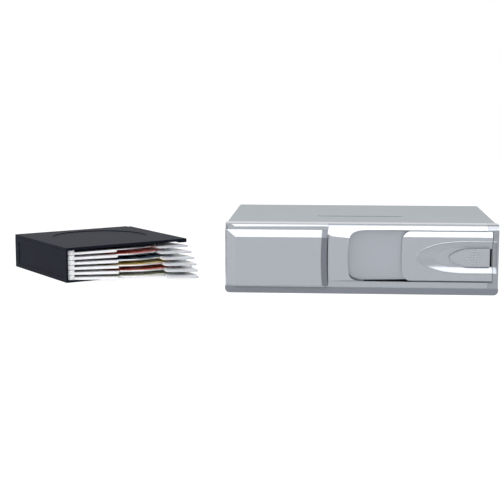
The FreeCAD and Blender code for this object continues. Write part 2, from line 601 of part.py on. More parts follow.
def end_cap():
    side = outline("YZ", [
        ("body_y", "trim_tall"), ("crown_y + low_band_foot", "trim_tall"),
        ("door_y", "band_low"), ("door_y", "door_knee"), ("crown_y + band_back", "band_high"),
        ("crown_y + band_top_back * 0.75", "case_tall - 1.4", "crown_y + band_top_back", "case_tall"),
        ("body_y", "case_tall")], "band_end", "half")
    front = outline("XZ", [
        ("band_end + fascia_gap", "trim_tall"), ("half", "trim_tall"), ("half", "case_tall"),
        ("band_end + fascia_gap", "case_tall"), ("band_end + fascia_gap", "case_tall - cap_arm"),
        ("cap_mid - 1.5", "case_tall - cap_arm"),
        ("cap_mid - 0.44", "case_tall - cap_arm - 0.44", "cap_mid", "case_tall - cap_arm - 1.5"),
        ("cap_mid", "trim_tall + cap_arm + 1.5"),
        ("cap_mid - 0.44", "trim_tall + cap_arm + 0.44", "cap_mid - 1.5", "trim_tall + cap_arm"),
        ("band_end + fascia_gap", "trim_tall + cap_arm")], "crown_y - 1", "body_y")
    plan = outline("XY", [
        ("band_end", "crown_y"), ("half - cap_round", "crown_y"),
        ("half - cap_round * 0.3", "crown_y + cap_round * 0.8 + 0.6", "half", "crown_y + cap_round * 2"),
        ("half", "body_y"), ("band_end", "body_y")], "trim_tall - 1", "case_tall + 1")
    hollow = block("band_end - 1", "half - cap_wall", "fascia_y - 6.5", "body_y + 1", "tunnel_low",
                   "tunnel_high")
    node("end_cap", cut(common(side, front, plan), scoop(), hollow))


def inner_shutter():
    panel = block("shutter_left", "shutter_right", "shutter_y", "shutter_back_y", "door_low", "band_high")
    stub = rod("z", "roller_pin_r", "roller_x", "roller_y", "band_high - 2", "band_high + roller_tall + 0.3")
    notch = rod("z", "roller_r + running_gap", "roller_x", "roller_y", "band_high - 0.4", "band_high + 2")
    node("inner_shutter", fuse(cut(panel, notch), stub))


def shutter_roller():
    wheel = rod("z", "roller_r", "roller_x", "roller_y", "band_high - 0.1", "band_high + roller_tall - 0.1")
    bore = rod("z", "roller_pin_r + slip", "roller_x", "roller_y", "band_high - 1", "band_high + 3")
    node("shutter_roller", cut(wheel, bore))


def door_track():
    left, right = "side_wall - half + panel_side_bevel + rail_margin + 0.5", "half - cap_wall - fascia_gap"
    foot = block(left, right, "skin_top_y + running_gap", "fascia_y - fascia_gap", "tunnel_low", "rail_floor")
    middle = block(left, right, "door_back_y + running_gap", "shutter_y - running_gap", "rail_floor",
                   "rail_floor + rail_rib_tall")
    back = block(left, right, "rail_y", "fascia_y - fascia_gap", "rail_floor", "rail_floor + rail_rib_tall")
    head = block(left, right, "skin_top_y + 3", "fascia_y - fascia_gap", "door_high + running_gap",
                 "tunnel_high")
    race = block(left, right, "rail_y", "fascia_y - fascia_gap", "band_high + running_gap", "tunnel_high")
    node("door_track", group(fuse(foot, middle, back), fuse(head, race)))


def bay_fascia():
    plate = block("side_wall - half + rail_margin", "half - cap_wall - fascia_gap", "fascia_y",
                  "fascia_back_y",
                  "tunnel_low", "tunnel_high")
    slot = block("bay_left", "bay_right", "fascia_y - 1", "fascia_back_y + 1", "bay_floor_z", "bay_top")
    key = block("key_x - fascia_gap", "key_x + key_wide + fascia_gap", "fascia_y - 1", "fascia_back_y + 1",
                "bay_floor_z - key_tall - 2 * fascia_gap - 1", "bay_floor_z - 1")
    node("bay_fascia", cut(plate, slot, key))


# ---------------------------------------------------------------- magazine bay
def bay_tray():
    sheet_low = "(bay_floor_z - bay_sheet)"
    floor = block("bay_left - bay_sheet", "bay_right + bay_sheet", "bay_front", "bay_back + bay_sheet",
                  sheet_low, "bay_floor_z")
    right = block("bay_right", "bay_right + bay_sheet", "bay_front", "bay_back", "bay_floor_z", "bay_top")
    back = cut(block("bay_left + leg_inset", "bay_right + bay_sheet", "bay_back", "bay_back + bay_sheet",
                     "bay_floor_z", "bay_top"),
               block("pusher_x - pusher_wide / 2 - running_gap", "pusher_x + pusher_wide / 2 + running_gap",
                     "bay_back - 1", "bay_back + bay_sheet + 1", "pusher_low - running_gap",
                     "pusher_high + running_gap"))
    legs = [rod("z", "leg_r", x, y, "steel", sheet_low)
            for x in ("bay_left + leg_inset", "bay_right - leg_inset / 2")
            for y in ("body_y + leg_r + 1", "bay_back - leg_inset")]
    tail = block("pusher_x - 8", "pusher_x + 8", "bay_back", "guide_y + guide_long", sheet_low, "bay_floor_z")
    guide = cut(block("pusher_x - 5", "pusher_x + 5", "guide_y", "guide_y + guide_long", "bay_floor_z",
                      "pusher_z + 5"),
                rod("y", "pusher_rod_r + slip", "pusher_x", "pusher_z", "guide_y - 1",
                    "guide_y + guide_long + 1"))
    hanger = cut(block("key_mid - 4", "key_mid + 4", "bay_front + 24", "bay_front + 28", "key_rod_z - 3.5",
                       sheet_low),
                 rod("y", "key_rod_r + slip", "key_mid", "key_rod_z", "bay_front + 23", "bay_front + 29"))
    node("bay_tray", fuse(floor, right, back, *legs, tail, guide, hanger))


def bay_lid():
    plate = block("bay_left", "bay_right + bay_sheet", "bay_front", "bay_back + bay_sheet", "bay_top",
                  "bay_top + bay_sheet")
    opening = block("bay_left + lid_margin", "bay_right - lid_margin", "bay_front + lid_margin",
                    "bay_back - lid_margin", "bay_top - 1", "bay_top + bay_sheet + 1")
    node("bay_lid", cut(plate, opening))


def magazine_pusher():
    plate = block("pusher_x - pusher_wide / 2", "pusher_x + pusher_wide / 2", "bay_back",
                  "bay_back + pusher_thick", "pusher_low", "pusher_high")
    stem = rod("y", "pusher_rod_r", "pusher_x", "pusher_z", "bay_back + pusher_thick", "wall_y - steel - 1.5")
    node("magazine_pusher", fuse(plate, stem))


def pusher_spring():
    sleeve = cut(rod("y", "pusher_rod_r + 1.6", "pusher_x", "pusher_z", "bay_back + pusher_thick + 0.1",
                     "guide_y"),
                 rod("y", "pusher_rod_r + 0.4", "pusher_x", "pusher_z", "bay_back", "guide_y + 1"))
    node("pusher_spring", sleeve)


def eject_key():
    low = "(bay_floor_z - key_tall - fascia_gap - 1)"
    cap = block("key_x", "key_x + key_wide", "rail_y + fascia_gap", "bay_front - fascia_gap", low,
                f"{low} + key_tall")
    stem = rod("y", "key_rod_r", "key_mid", "key_rod_z", "bay_front - fascia_gap", "bay_front + key_rod_long")
    node("eject_key", fuse(cap, stem))


def main_board():
    top = "(steel + standoff + board_thick)"
    plate = block("board_left", "board_right", "board_front", "board_back", "steel + standoff", top)
    wide, deep = "(board_right - board_left)", "(board_back - board_front)"
    chips = [block(f"board_left + {wide} * {x}", f"board_left + {wide} * {x + w}",
                   f"board_front + {deep} * {y}",
                   f"board_front + {deep} * {y + d}", top, f"{top} + board_thick * {t}")
             for x, y, w, d, t in ((0.13, 0.12, 0.2, 0.18, 1.2), (0.47, 0.16, 0.15, 0.09, 1.2),
                                   (0.7, 0.54, 0.17, 0.14, 1.2), (0.21, 0.62, 0.23, 0.07, 1.6))]
    cans = [rod("z", "board_thick * 2", f"board_left + {wide} * {x}", f"board_front + {deep} * {y}", top,
                f"{top} + board_thick * 3.8") for x, y in ((0.43, 0.8), (0.53, 0.8), (0.9, 0.18))]
    node("main_board", fuse(plate, *chips, *cans))


def board_posts():
    return [rod("z", "standoff_r", x, y, "steel / 2", "steel + standoff")
            for x in ("board_left + 5", "board_right - 5") for y in ("board_front + 5", "board_back - 5")]


def rear_socket():
    shell = cut(rod("y", "socket_r", "socket_x", "socket_z", "back_y - socket_deep", "back_y"),
                rod("y", "socket_r - 1.3", "socket_x", "socket_z", "back_y - socket_deep + 3", "back_y + 1"))
    pins = [rod("y", 0.6, f"socket_x + {x}", f"socket_z + {z}", "back_y - socket_deep + 2", "back_y - 2")
            for x, z in ((0, 0), (3.4, 0), (-3.4, 0), (1.7, 3), (-1.7, 3), (1.7, -3), (-1.7, -3))]
    node("rear_socket", fuse(shell, *pins))


# ---------------------------------------------------------------- playing mechanism
def mech_frame():
    floor = block("frame_left", "frame_right", "body_y + 1", "wall_y - steel - 2", "frame_z", "frame_top")
    wall = block("frame_left", "frame_left + plate", "body_y + 1", "wall_y - steel - 2", "frame_top",
                 "roof_z - 5")
    ways = [block("frame_left - 1", "frame_left + plate + 1", f"{y} - lift_pin_r - slip",
                  f"{y} + lift_pin_r + slip",
                  "pin_z - lift_pin_r - 0.3", "pin_z + lift_run + lift_pin_r + 0.3")
            for y in ("-lift_pin_y", "lift_pin_y")]
    shaft_hole = rod("x", "shaft_r + 0.3", "0", "pinion_z", "frame_left - 1", "frame_left + plate + 1")
    studs = []
    for y in ("-lift_pin_y", "lift_pin_y"):
        studs.append(rod("x", "lift_pin_r", y, "stud_z", "cam_x - plate - 0.7", "frame_left"))
        studs.append(rod("x", "lift_pin_r + 1.1", y, "stud_z", "cam_x - plate - 0.7", "cam_x - plate - 0.3"))
    node("mech_frame", fuse(cut(fuse(floor, wall), *ways, shaft_hole), *studs))


def rubber_dampers():
    feet = [rod("z", "damper_r", x, y, "steel", "frame_z")
            for x in ("frame_left + 12", "frame_right - 12") for y in ("bay_front + 14", "wall_y - 16")]
    node("rubber_dampers", group(*feet))


def guide_posts():
    node("guide_posts", group(*[rod("z", "post_r", "post_x", y, "frame_top", "roof_z - 3")
                                for y in ("post_front", "post_back")]))


def toothed(corners, depth, x):
    # a flat outline of (y, z) corners made solid along X
    wire = Part.makePolygon([V(x, y, z) for y, z in corners + corners[:1]])
    return Part.Face(wire).extrude(V(depth, 0, 0))


def lift_pinion():
    count, module = int(value("pinion_teeth")), value("module_size")
    pitch_r, centre = value("pinion_r"), value("pinion_z")
    half = 3.14159265 * module / 4 - value("backlash") / 2
    corners = []
    for tooth in range(count):
        for radius, width in ((pitch_r - 1.1 * module, half * 1.35), (pitch_r, half),
                              (pitch_r + 0.85 * module, half * 0.4)):
            corners.append((tooth, radius, -width))
        for radius, width in ((pitch_r + 0.85 * module, half * 0.4), (pitch_r, half),
                              (pitch_r - 1.1 * module, half * 1.35)):
            corners.append((tooth, radius, width))
    points = []
    for tooth, radius, width in corners:
        turn = FreeCAD.Rotation(V(-1, 0, 0), 360.0 * tooth / count)
        point = turn.multVec(V(0, width, radius))
        points.append((point.y, centre + point.z))
    wheel = doc.addObject("Part::Feature", "pinion_teeth")
    wheel.Shape = toothed(points, value("plate"), value("cam_x - plate"))
    shaft = rod("x", "shaft_r", "0", "pinion_z", "cam_x - plate", "frame_left + plate + 3")
    node("lift_pinion", fuse(wheel, shaft))


def lift_motor():
    half = "lift_motor_wide / 2"
    can = block("frame_left + plate", "frame_left + plate + lift_motor_long", f"-({half})", half, "frame_top",
                "pinion_z + 4")
    bore = rod("x", "shaft_r + slip", "0", "pinion_z", "frame_left", "frame_left + plate + 3.3")
    node("lift_motor", cut(can, bore))


def cam_slide():
    # upright plate with a rack below, a level guide slot and two ramps that carry the deck's pins
    low, high = "rack_z + module_size * 1.2", "pin_z + lift_run + lift_pin_r + cam_tall_over"
    front, back = "-lift_pin_y - 5", "lift_pin_y + cam_run + 5"
    plate = outline("YZ", [(front, low), (back, low), (back, high), ("cam_run", high),
                           (front, "pin_z + cam_tall_over + 6")], "cam_x - plate", "cam_x")
    level = block("cam_x - plate - 1", "cam_x + 1", "-lift_pin_y - lift_pin_r - 0.3",
                  "lift_pin_y + cam_run + lift_pin_r + 0.3", "stud_z - lift_pin_r - slip",
                  "stud_z + lift_pin_r + slip")
    ramps = []
    for y in ("-lift_pin_y", "lift_pin_y"):
        half = "(lift_pin_r + slip) / cos(ramp_angle)"
        run = "(lift_pin_r * 0.4 + 0.2)"
        ramps.append(outline("YZ", [
            (f"{y} - {run}", f"pin_z - cam_slope * {run} - {half}"),
            (f"{y} + cam_run + {run}", f"pin_z + lift_run + cam_slope * {run} - {half}"),
            (f"{y} + cam_run + {run}", f"pin_z + lift_run + cam_slope * {run} + {half}"),
            (f"{y} - {run}", f"pin_z - cam_slope * {run} + {half}")], "cam_x - plate - 1", "cam_x + 1"))
        for shift in ("0", "1"):
            ramps.append(rod("x", "lift_pin_r + slip", f"{y} + cam_run * {shift}",
                             f"pin_z + lift_run * {shift}",
                             "cam_x - plate - 1", "cam_x + 1"))
    module, pitch_z = value("module_size"), value("rack_z")
    half_tooth = 3.14159265 * module / 4 - value("backlash") / 2
    pitch = 3.14159265 * module
    count = int((value("cam_run") + 10) / pitch)
    root, tip = pitch_z + 1.2 * module, pitch_z - 0.8 * module
    corners = [(-3 * pitch + pitch * count, root + 0.3), (-3 * pitch, root + 0.3)]
    for tooth in range(count):
        middle = (tooth - 2.5) * pitch
        for z, width in ((root, -half_tooth * 1.6), (tip, -half_tooth * 0.55), (tip, half_tooth * 0.55),
                         (root, half_tooth * 1.6)):
            corners.append((middle + width, z))
    rack = doc.addObject("Part::Feature", "rack_teeth")
    rack.Shape = toothed(corners, value("plate"), value("cam_x - plate"))
    node("cam_slide", fuse(cut(plate, level, *ramps), rack))


def sled_frame(thing):
    # the pickup's parts are drawn running along -Y from the turntable, then turned into place
    return spun(thing, "sled_turn", "table_x", "table_y", "0")


def play_deck():
    plate = block("deck_left", "deck_right", "body_y + 1", "clamp_pivot_y + 5", "deck_z", "deck_z + plate")
    flange = block("deck_left", "deck_left + plate", "-lift_pin_y - 8", "lift_pin_y + 8", "pin_z - 4",
                   "deck_z")
    pins = [rod("x", "lift_pin_r", y, "pin_z", "cam_x - plate - 0.6", "deck_left") for y in ("-lift_pin_y",
                                                                                             "lift_pin_y")]
    bushes = [rod("z", "bush_r", "post_x", y, "deck_z - bush_tall", "deck_z") for y in ("post_front",
                                                                                        "post_back")]
    bores = [rod("z", "post_r + slip", "post_x", y, "deck_z - bush_tall - 1", "deck_z + plate + 1")
             for y in ("post_front", "post_back")]
    ears = [block(f"table_x + {side} * (clamp_wide / 2 + 1) - plate / 2",
                  f"table_x + {side} * (clamp_wide / 2 + 1) + plate / 2",
                  "clamp_pivot_y - 4", "clamp_pivot_y + 4", "clamp_pin_z - 3.5", "deck_z") for side in (-1,
                                                                                                        1)]
    pin_bore = rod("x", "clamp_pin_r + slip", "clamp_pivot_y", "clamp_pin_z", "table_x - clamp_wide",
                   "table_x + clamp_wide")
    hangers = []
    for y0, y1 in (("-(sled_start + sled_long + sled_run + fascia_gap + bracket)",
                    "-(sled_start + sled_long + sled_run + fascia_gap)"),
                   ("-(sled_start - fascia_gap)", "-(sled_start - fascia_gap - bracket)")):
        bar = sled_frame(block("-screw_apart - 2.5", "rod_apart / 2 + 2.5", y0, y1, "rod_z - 2.5", "deck_z"))
        hangers.append(bar)
    stud = rod("z", "post_r", "lever_x", "lever_y", "deck_z - 3.6", "deck_z")
    holes = [sled_frame(rod("y", "rod_r + slip", x, "rod_z", "-90", "-12"))
             for x in ("-rod_apart / 2", "rod_apart / 2", "-screw_apart")]
    node("play_deck", fuse(cut(fuse(plate, flange, *bushes, *ears, *hangers), *bores, pin_bore, *holes),
                           *pins, stud))


def spindle_motor():
    can = rod("z", "spin_r", "table_x", "table_y", "deck_z - spin_tall", "deck_z")
    bore = rod("z", "shaft_r + slip", "table_x", "table_y", "deck_z - spin_tall - 1", "deck_z - 0.5")
    node("spindle_motor", cut(can, bore))


def turntable():
    # hangs below its motor, the hub centres the disc
    platform = rod("z", "table_r", "table_x", "table_y", "table_z", "table_z + table_thick")
    hub = rod("z", "table_hub_r", "table_x", "table_y", "table_z - table_hub_tall", "table_z + table_thick")
    neck = rod("z", "shaft_r + 2.5", "table_x", "table_y", "table_z", "deck_z - spin_tall - 0.3")
    shaft = rod("z", "shaft_r", "table_x", "table_y", "table_z", "deck_z - 0.8")
    node("turntable", fuse(platform, hub, neck, shaft))


def guide_rods():
    low = "-(sled_start + sled_long + sled_run + fascia_gap + bracket)"
    node("guide_rods", group(*[sled_frame(rod("y", "rod_r", x, "rod_z", low,
                                              "-(sled_start - fascia_gap - bracket)"))
                               for x in ("-rod_apart / 2", "rod_apart / 2")]))


def pickup_sled():
    low, high = "rod_z - sled_tall / 2", "rod_z + sled_tall / 2"
    carriage = block("-sled_wide / 2", "sled_wide / 2", "-(sled_start + sled_long)", "-sled_start", low, high)
    arm = block("-screw_apart - 2.6", "-sled_wide / 2 + 1", "-(sled_start + sled_long * 0.6)",
                "-(sled_start + sled_long * 0.3)", low, high)
    bores = [rod("y", "rod_r + slip", x, "rod_z", "-90", "0") for x in ("-rod_apart / 2", "rod_apart / 2",
                                                                        "-screw_apart")]
    well = rod("z", "lens_r + 1.8", "0", "-lens_y", low + " - 1", low + " + 1")
    node("pickup_sled", sled_frame(cut(fuse(carriage, arm), *bores, well)))


def pickup_lens():
    low = "rod_z - sled_tall / 2"
    barrel = fuse(rod("z", "lens_r", "0", "-lens_y", f"{low} - lens_tall + 1", f"{low} + 1"),
                  rod("z", "lens_r * 0.55", "0", "-lens_y", f"{low} - lens_tall + 0.7", f"{low}"))
    node("pickup_lens", sled_frame(barrel))


def lead_screw():
    node("lead_screw", sled_frame(rod("y", "rod_r", "-screw_apart", "rod_z",
                                      "-(sled_start + sled_long + sled_run + fascia_gap + bracket)",
                                      "-(sled_start - fascia_gap - bracket) + screw_nose")))


def sled_motor():
    start = "-(sled_start - fascia_gap - bracket) + 0.2"
    can = block("-screw_apart - sled_motor_wide / 2", "-screw_apart + sled_motor_wide / 2", start,
                f"{start} + sled_motor_long", "deck_z - sled_motor_tall", "deck_z")
    bore = rod("y", "rod_r + slip", "-screw_apart", "rod_z", f"{start} - 1", f"{start} + screw_nose + 1")
    node("sled_motor", sled_frame(cut(can, bore)))


def clamp_arm():
    top = "(clamp_top_z - clamp_disc_tall - fascia_gap)"
    left, right = "(table_x - clamp_wide / 2)", "(table_x + clamp_wide / 2)"
    plan = outline("XY", [
        (left, "clamp_pivot_y + 3"), (left, "table_y + 20"), ("table_x - 9", "table_y"),
        ("table_x", "table_y - 9", "table_x + 9", "table_y"), (right, "table_y + 20"), (right,
                                                                                        "clamp_pivot_y + 3")],
        f"{top} - plate", top)
    cheeks = [block(x0, x1, "clamp_pivot_y - 4", "clamp_pivot_y + 3", f"{top} - plate", "clamp_pin_z + 3")
              for x0, x1 in ((left, f"{left} + plate"), (f"{right} - plate", right))]
    pivot_bore = rod("x", "clamp_pin_r + slip", "clamp_pivot_y", "clamp_pin_z", f"{left} - 5", f"{right} + 5")
    disc_bore = rod("z", "2.5 + slip", "table_x", "table_y", f"{top} - 5", f"{top} + 5")
    node("clamp_arm", cut(fuse(plan, *cheeks), pivot_bore, disc_bore))


def clamp_pin():
    node("clamp_pin", rod("x", "clamp_pin_r", "clamp_pivot_y", "clamp_pin_z",
                          "table_x - clamp_wide / 2 - plate - 1", "table_x + clamp_wide / 2 + plate + 1"))


def clamp_disc():
    low = "(clamp_top_z - clamp_disc_tall)"
    puck = cut(rod("z", "table_r", "table_x", "table_y", low, "clamp_top_z"),
               rod("z", "table_hub_r + 1.2", "table_x", "table_y", "clamp_top_z - 2.2", "clamp_top_z + 1"))
    stem = rod("z", "2.5", "table_x", "table_y", f"{low} - plate - 2 * fascia_gap - 1", low)
    cap = rod("z", "5", "table_x", "table_y", f"{low} - plate - 2 * fascia_gap - 1",
              f"{low} - plate - 2 * fascia_gap")
    node("clamp_disc", fuse(puck, stem, cap))


def tray_lever():
    half = "(lever_wide / 2)"
    arm = outline("XY", [
        ("lever_x", f"lever_y - {half}"), ("lever_x + lever_long", f"lever_y - {half}"),
        (f"lever_x + lever_long + {half}", "lever_y", "lever_x + lever_long", f"lever_y + {half}"),
        ("lever_x", f"lever_y + {half}"), (f"lever_x - {half}", "lever_y", "lever_x", f"lever_y - {half}")],
        "deck_z - 2.6", "deck_z - 1.2")
    finger = rod("z", "1.6", "lever_x + lever_long", "lever_y", "deck_z - 9", "deck_z - 2")
    bore = rod("z", "post_r + slip", "lever_x", "lever_y", "deck_z - 5", "deck_z")
    node("tray_lever", cut(fuse(arm, finger), bore))


# ---------------------------------------------------------------- magazine
# drawn with its hinged corner at the origin, discs leaving towards +X, then turned into place
def in_place(thing):
    return spun(thing, "mag_turn", "mag_x", "mag_y", "0")


def magazine_case():
    floor = block("-mag_wide", "0", "0", "mag_long", "0", "mag_floor")
    near = block("-mag_wide", "0", "0", "mag_wall", "mag_floor", "mag_tall - mag_lid")
    side = block("-mag_wide", "mag_wall - mag_wide", "mag_wall", "mag_long", "mag_floor",
                 "mag_tall - mag_lid")
    relief = block("face_margin - mag_wide", "-face_margin", "-1", "face_relief", "face_margin / 2",
                   "mag_tall - face_margin / 2 - 3")
    node("magazine_case", in_place(cut(fuse(floor, near, side), relief)))


def magazine_lid():
    plate = block("-mag_wide", "0", "0", "mag_long", "mag_tall - mag_lid", "mag_tall")
    tab = block("-lid_block", "0", "mag_long - lid_block", "mag_long", "mag_tall - lid_block_tall",
                "mag_tall")
    dish = rod("z", "lid_dish_r", "-disc_in_x", "disc_in_y", "mag_tall - lid_dish_deep", "mag_tall + 1")
    notch = block("-mag_wide - 1", "lid_notch - mag_wide", "mag_long - lid_notch", "mag_long + 1",
                  "mag_tall - mag_lid - 1", "mag_tall + 1")
    node("magazine_lid", in_place(cut(fuse(plate, tab), dish, notch)))


def magazine_pin():
    node("magazine_pin", in_place(rod("z", "pin_r", "-pin_in_x", "pin_in_y", "mag_floor",
                                      "mag_tall - mag_lid")))


def fanned(thing, index):
    # a tray's own origin is its pivot, and each lower tray is swung further out
    turn = f"mag_turn - fan_first - fan_step * {index}"
    return spun(thing, turn, "hinge_x", "hinge_y", f"tray_rest_z + tray_pitch * (level_count - {index})")


def disc_tray(index):
    dish = rod("z", "tray_r", "-reach_x", "reach_y", "0", "tray_tall")
    near = outline("XY", [
        ("-38", "-3.6"), ("0.5", "-3.6"), ("3.6", "2"), ("4.2", "arm_reach * 0.5"), ("4.8", "arm_reach - 6"),
        ("3.6", "arm_reach + 1.6"), ("-3", "arm_reach"), ("-22", "30"), ("-45", "20")], "0", "tray_tall")
    far = outline("XY", [
        ("-36", "116"), ("-8", "reach_y + tip_reach - 1.5"), ("3.2", "reach_y + tip_reach"),
        ("4.4", "reach_y + tip_reach - 4"), ("2.2", "100"), ("-2.5", "91"), ("-16", "82")], "0",
        "tray_tall * 0.55")
    hub = rod("z", "hub_r", "0", "0", "0", "hub_tall")
    bed = rod("z", "disc_r + disc_gap", "-reach_x", "reach_y", "tray_floor", "tray_tall + 1")
    key = fuse(rod("z", "key_r", "0", "0", "-1", "tray_tall + 1"),
               block("0", "tray_r + 20", "-key_half", "key_half", "-1", "tray_tall + 1"))
    key = spun(key, "key_turn", "-reach_x", "reach_y", "0")
    bore = rod("z", "pin_r + slip", "0", "0", "-1", "hub_tall + 1")
    return fanned(cut(fuse(cut(fuse(dish, near, far), bed, key), hub), bore), index)


def disc(index):
    plate = cut(rod("z", "disc_r", "-reach_x", "reach_y", "tray_floor", "tray_floor + disc_thick"),
                rod("z", "disc_hole_r", "-reach_x", "reach_y", "0", "tray_tall + 1"))
    return fanned(plate, index)


def trays_and_discs():
    for index in range(int(value("level_count")) + 1):
        node(f"tray_{index + 1}", disc_tray(index))
        node(f"disc_{index + 1}", disc(index))


for build in (chassis_base, top_cover, case_screws, angle_dials, lower_trim, front_bezel, left_panel,
              accent_strip, sliding_door, thumb_grip, grip_spring, end_cap, inner_shutter, shutter_roller,
              door_track, bay_fascia, bay_tray, bay_lid, magazine_pusher, pusher_spring, eject_key,
              main_board, rear_socket, mech_frame,
              rubber_dampers, guide_posts, lift_pinion, lift_motor, cam_slide, play_deck, spindle_motor,
              turntable,
              guide_rods, pickup_sled, pickup_lens, lead_screw, sled_motor, clamp_arm, clamp_pin, clamp_disc,
              tray_lever, magazine_case, magazine_lid, magazine_pin, trays_and_discs):
    build()

doc.recompute()
bad = [o.Name + " " + o.Label for o in doc.Objects if "Invalid" in o.State or "Error" in o.State]
for name, thing in nodes.items():
    shape = thing.Shape
    if shape.isNull() or not shape.isValid() or not shape.Solids:
        bad.append(name)
if bad:
    raise SystemExit("not built: " + ", ".join(bad))
os.makedirs("parts", exist_ok=True)
for name, thing in nodes.items():
    thing.Shape.exportStep(f"parts/{name}.step")
    box = thing.Shape.BoundBox
    print(f"{name:18} solids {len(thing.Shape.Solids)} x {box.XMin:8.2f} {box.XMax:8.2f} "
          f"y {box.YMin:7.2f} {box.YMax:7.2f} z {box.ZMin:6.2f} {box.ZMax:6.2f}")
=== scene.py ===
import bpy
import json
import math
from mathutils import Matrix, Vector


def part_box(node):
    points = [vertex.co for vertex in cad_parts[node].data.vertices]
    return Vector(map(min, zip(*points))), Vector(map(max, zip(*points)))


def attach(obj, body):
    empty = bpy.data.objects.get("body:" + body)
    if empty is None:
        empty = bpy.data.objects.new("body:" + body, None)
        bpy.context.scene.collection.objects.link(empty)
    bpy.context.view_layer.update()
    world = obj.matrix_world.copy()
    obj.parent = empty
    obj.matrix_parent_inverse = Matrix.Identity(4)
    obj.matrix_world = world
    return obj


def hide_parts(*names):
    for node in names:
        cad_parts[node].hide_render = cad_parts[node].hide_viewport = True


# Slim silver disc changer, its magazine fanned open beside it. Metres, +Z up, front towards -Y.

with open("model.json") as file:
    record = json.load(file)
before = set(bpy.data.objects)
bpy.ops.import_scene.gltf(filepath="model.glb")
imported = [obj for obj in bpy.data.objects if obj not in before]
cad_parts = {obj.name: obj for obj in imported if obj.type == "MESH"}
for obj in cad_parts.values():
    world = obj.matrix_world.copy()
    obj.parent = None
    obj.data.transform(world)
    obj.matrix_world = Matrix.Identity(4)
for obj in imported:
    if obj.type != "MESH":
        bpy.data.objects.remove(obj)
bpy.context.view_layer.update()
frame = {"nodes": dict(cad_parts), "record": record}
print("frame loaded:", len(frame["nodes"]), "nodes")


# small helpers

def hexColour(text):
    # sRGB hex to linear RGBA
    channels = [int(text[i:i + 2], 16) / 255 for i in (0, 2, 4)]
    return [c / 12.92 if c <= 0.04045 else ((c + 0.055) / 1.055) ** 2.4 for c in channels] + [1.0]


def addNode(tree, kind, settings=None, links=None):
    # one shader node, its sockets and options set and its inputs linked
    node = tree.nodes.new("ShaderNode" + kind)
    for name, value in (settings or {}).items():
        if isinstance(name, str) and hasattr(node, name):
            setattr(node, name, value)
        else:
            node.inputs[name].default_value = value
    for name, source in (links or {}).items():
        tree.links.new(source, node.inputs[name])
    return node


def newMaterial(name):
    material = bpy.data.materials.new(name)
    material.use_nodes = True
    tree = material.node_tree
    tree.nodes.clear()
    place = addNode(tree, "TexCoord").outputs["Object"]
    return material, tree, place


def endMaterial(tree, surface, bump=None):
    if bump is not None:
        tree.links.new(bump.outputs["Normal"], surface.inputs["Normal"])
    addNode(tree, "OutputMaterial", links={"Surface": surface.outputs[0]})


def varied(tree, place, low, high, size):
    # colour that drifts between two hex values over patches of the given size in metres
    noise = addNode(tree, "TexNoise", {"Scale": 1 / size, "Detail": 3.0}, {"Vector": place})
    return addNode(tree, "Mix", {"data_type": "RGBA", 6: hexColour(low), 7: hexColour(high)},
                   {0: noise.outputs["Fac"]}).outputs[2]


def grain(tree, place, size, height):
    # fine relief: grain of the given size and height in metres
    noise = addNode(tree, "TexNoise", {"Scale": 1 / size, "Detail": 2.0}, {"Vector": place})
    return addNode(tree, "Bump", {"Strength": 1.0, "Distance": height},
                   {"Height": noise.outputs["Fac"]})


# materials, each with its changeable values beside it: sizes in metres, colours in sRGB hex

silverShine = {"patch": 0.0005, "metal": 0.6, "rough": 0.2, "coat": 0.25, "coatRough": 0.16,
               "peel": 0.0012, "peelHigh": 0.000004}
satinShine = {"patch": 0.09, "metal": 0.2, "rough": 0.42, "coat": 0.1, "coatRough": 0.3,
              "peel": 0.0016, "peelHigh": 0.00001}


def sprayed(name, low, high, shine):
    # sprayed coat: colour drifts over its patches, under a barely visible orange peel
    material, tree, place = newMaterial(name)
    colour = varied(tree, place, low, high, shine["patch"])
    surface = addNode(tree, "BsdfPrincipled", {
        "Metallic": shine["metal"], "Roughness": shine["rough"], "Coat Weight": shine["coat"],
        "Coat Roughness": shine["coatRough"]}, {"Base Color": colour})
    endMaterial(tree, surface, grain(tree, place, shine["peel"], shine["peelHigh"]))
    return material


# silver lacquer on ABS: fine metal flake under a thin clear coat, so that bevels catch the light
silverLacquer = sprayed("silverLacqueredAbs", "969AA0", "A4A8AE", silverShine)
# the same silver lacquer darkened for the end cap: painted shade, for the shade its face lies in
capLacquerPaintedShade = sprayed("silverLacqueredCapPaintedShade", "868A90", "93979D", silverShine)
leafLacquer = sprayed("silverLacqueredLeaf", "969AA2", "A1A5AC", silverShine)
# grey lacquers on ABS: less flake, duller and darker. The lower trim's darker grey is painted
# shade, for the set-back strip along the bottom that lies in shade
trimLacquerPaintedShade = sprayed("greyLacqueredAbsPaintedShade", "6D7179", "777B83",
                      dict(silverShine, metal=0.3, rough=0.42))
stripLacquer = sprayed("darkGreyLacqueredAbs", "5F626B", "696C75",
                       dict(silverShine, metal=0.3, rough=0.4))
# stoved satin paint on sheet steel: an even bluish grey
coverSteel = sprayed("satinPaintedSteel", "7D868B", "858D92", satinShine)

plasticLook = {"patch": 0.02, "softDepth": 0.002}


def mouldedPlastic(name, low, high, rough, grainSize, grainHigh, soft=0.0, gloss=0.5):
    # moulded plastic with a spark-eroded grain, drawn a little coarser than real so that it shows
    material, tree, place = newMaterial(name)
    colour = varied(tree, place, low, high, plasticLook["patch"])
    surface = addNode(tree, "BsdfPrincipled", {
        "Roughness": rough, "Specular IOR Level": gloss, "Subsurface Weight": soft,
        "Subsurface Scale": plasticLook["softDepth"]}, {"Base Color": colour})
    endMaterial(tree, surface, grain(tree, place, grainSize, grainHigh))
    return material


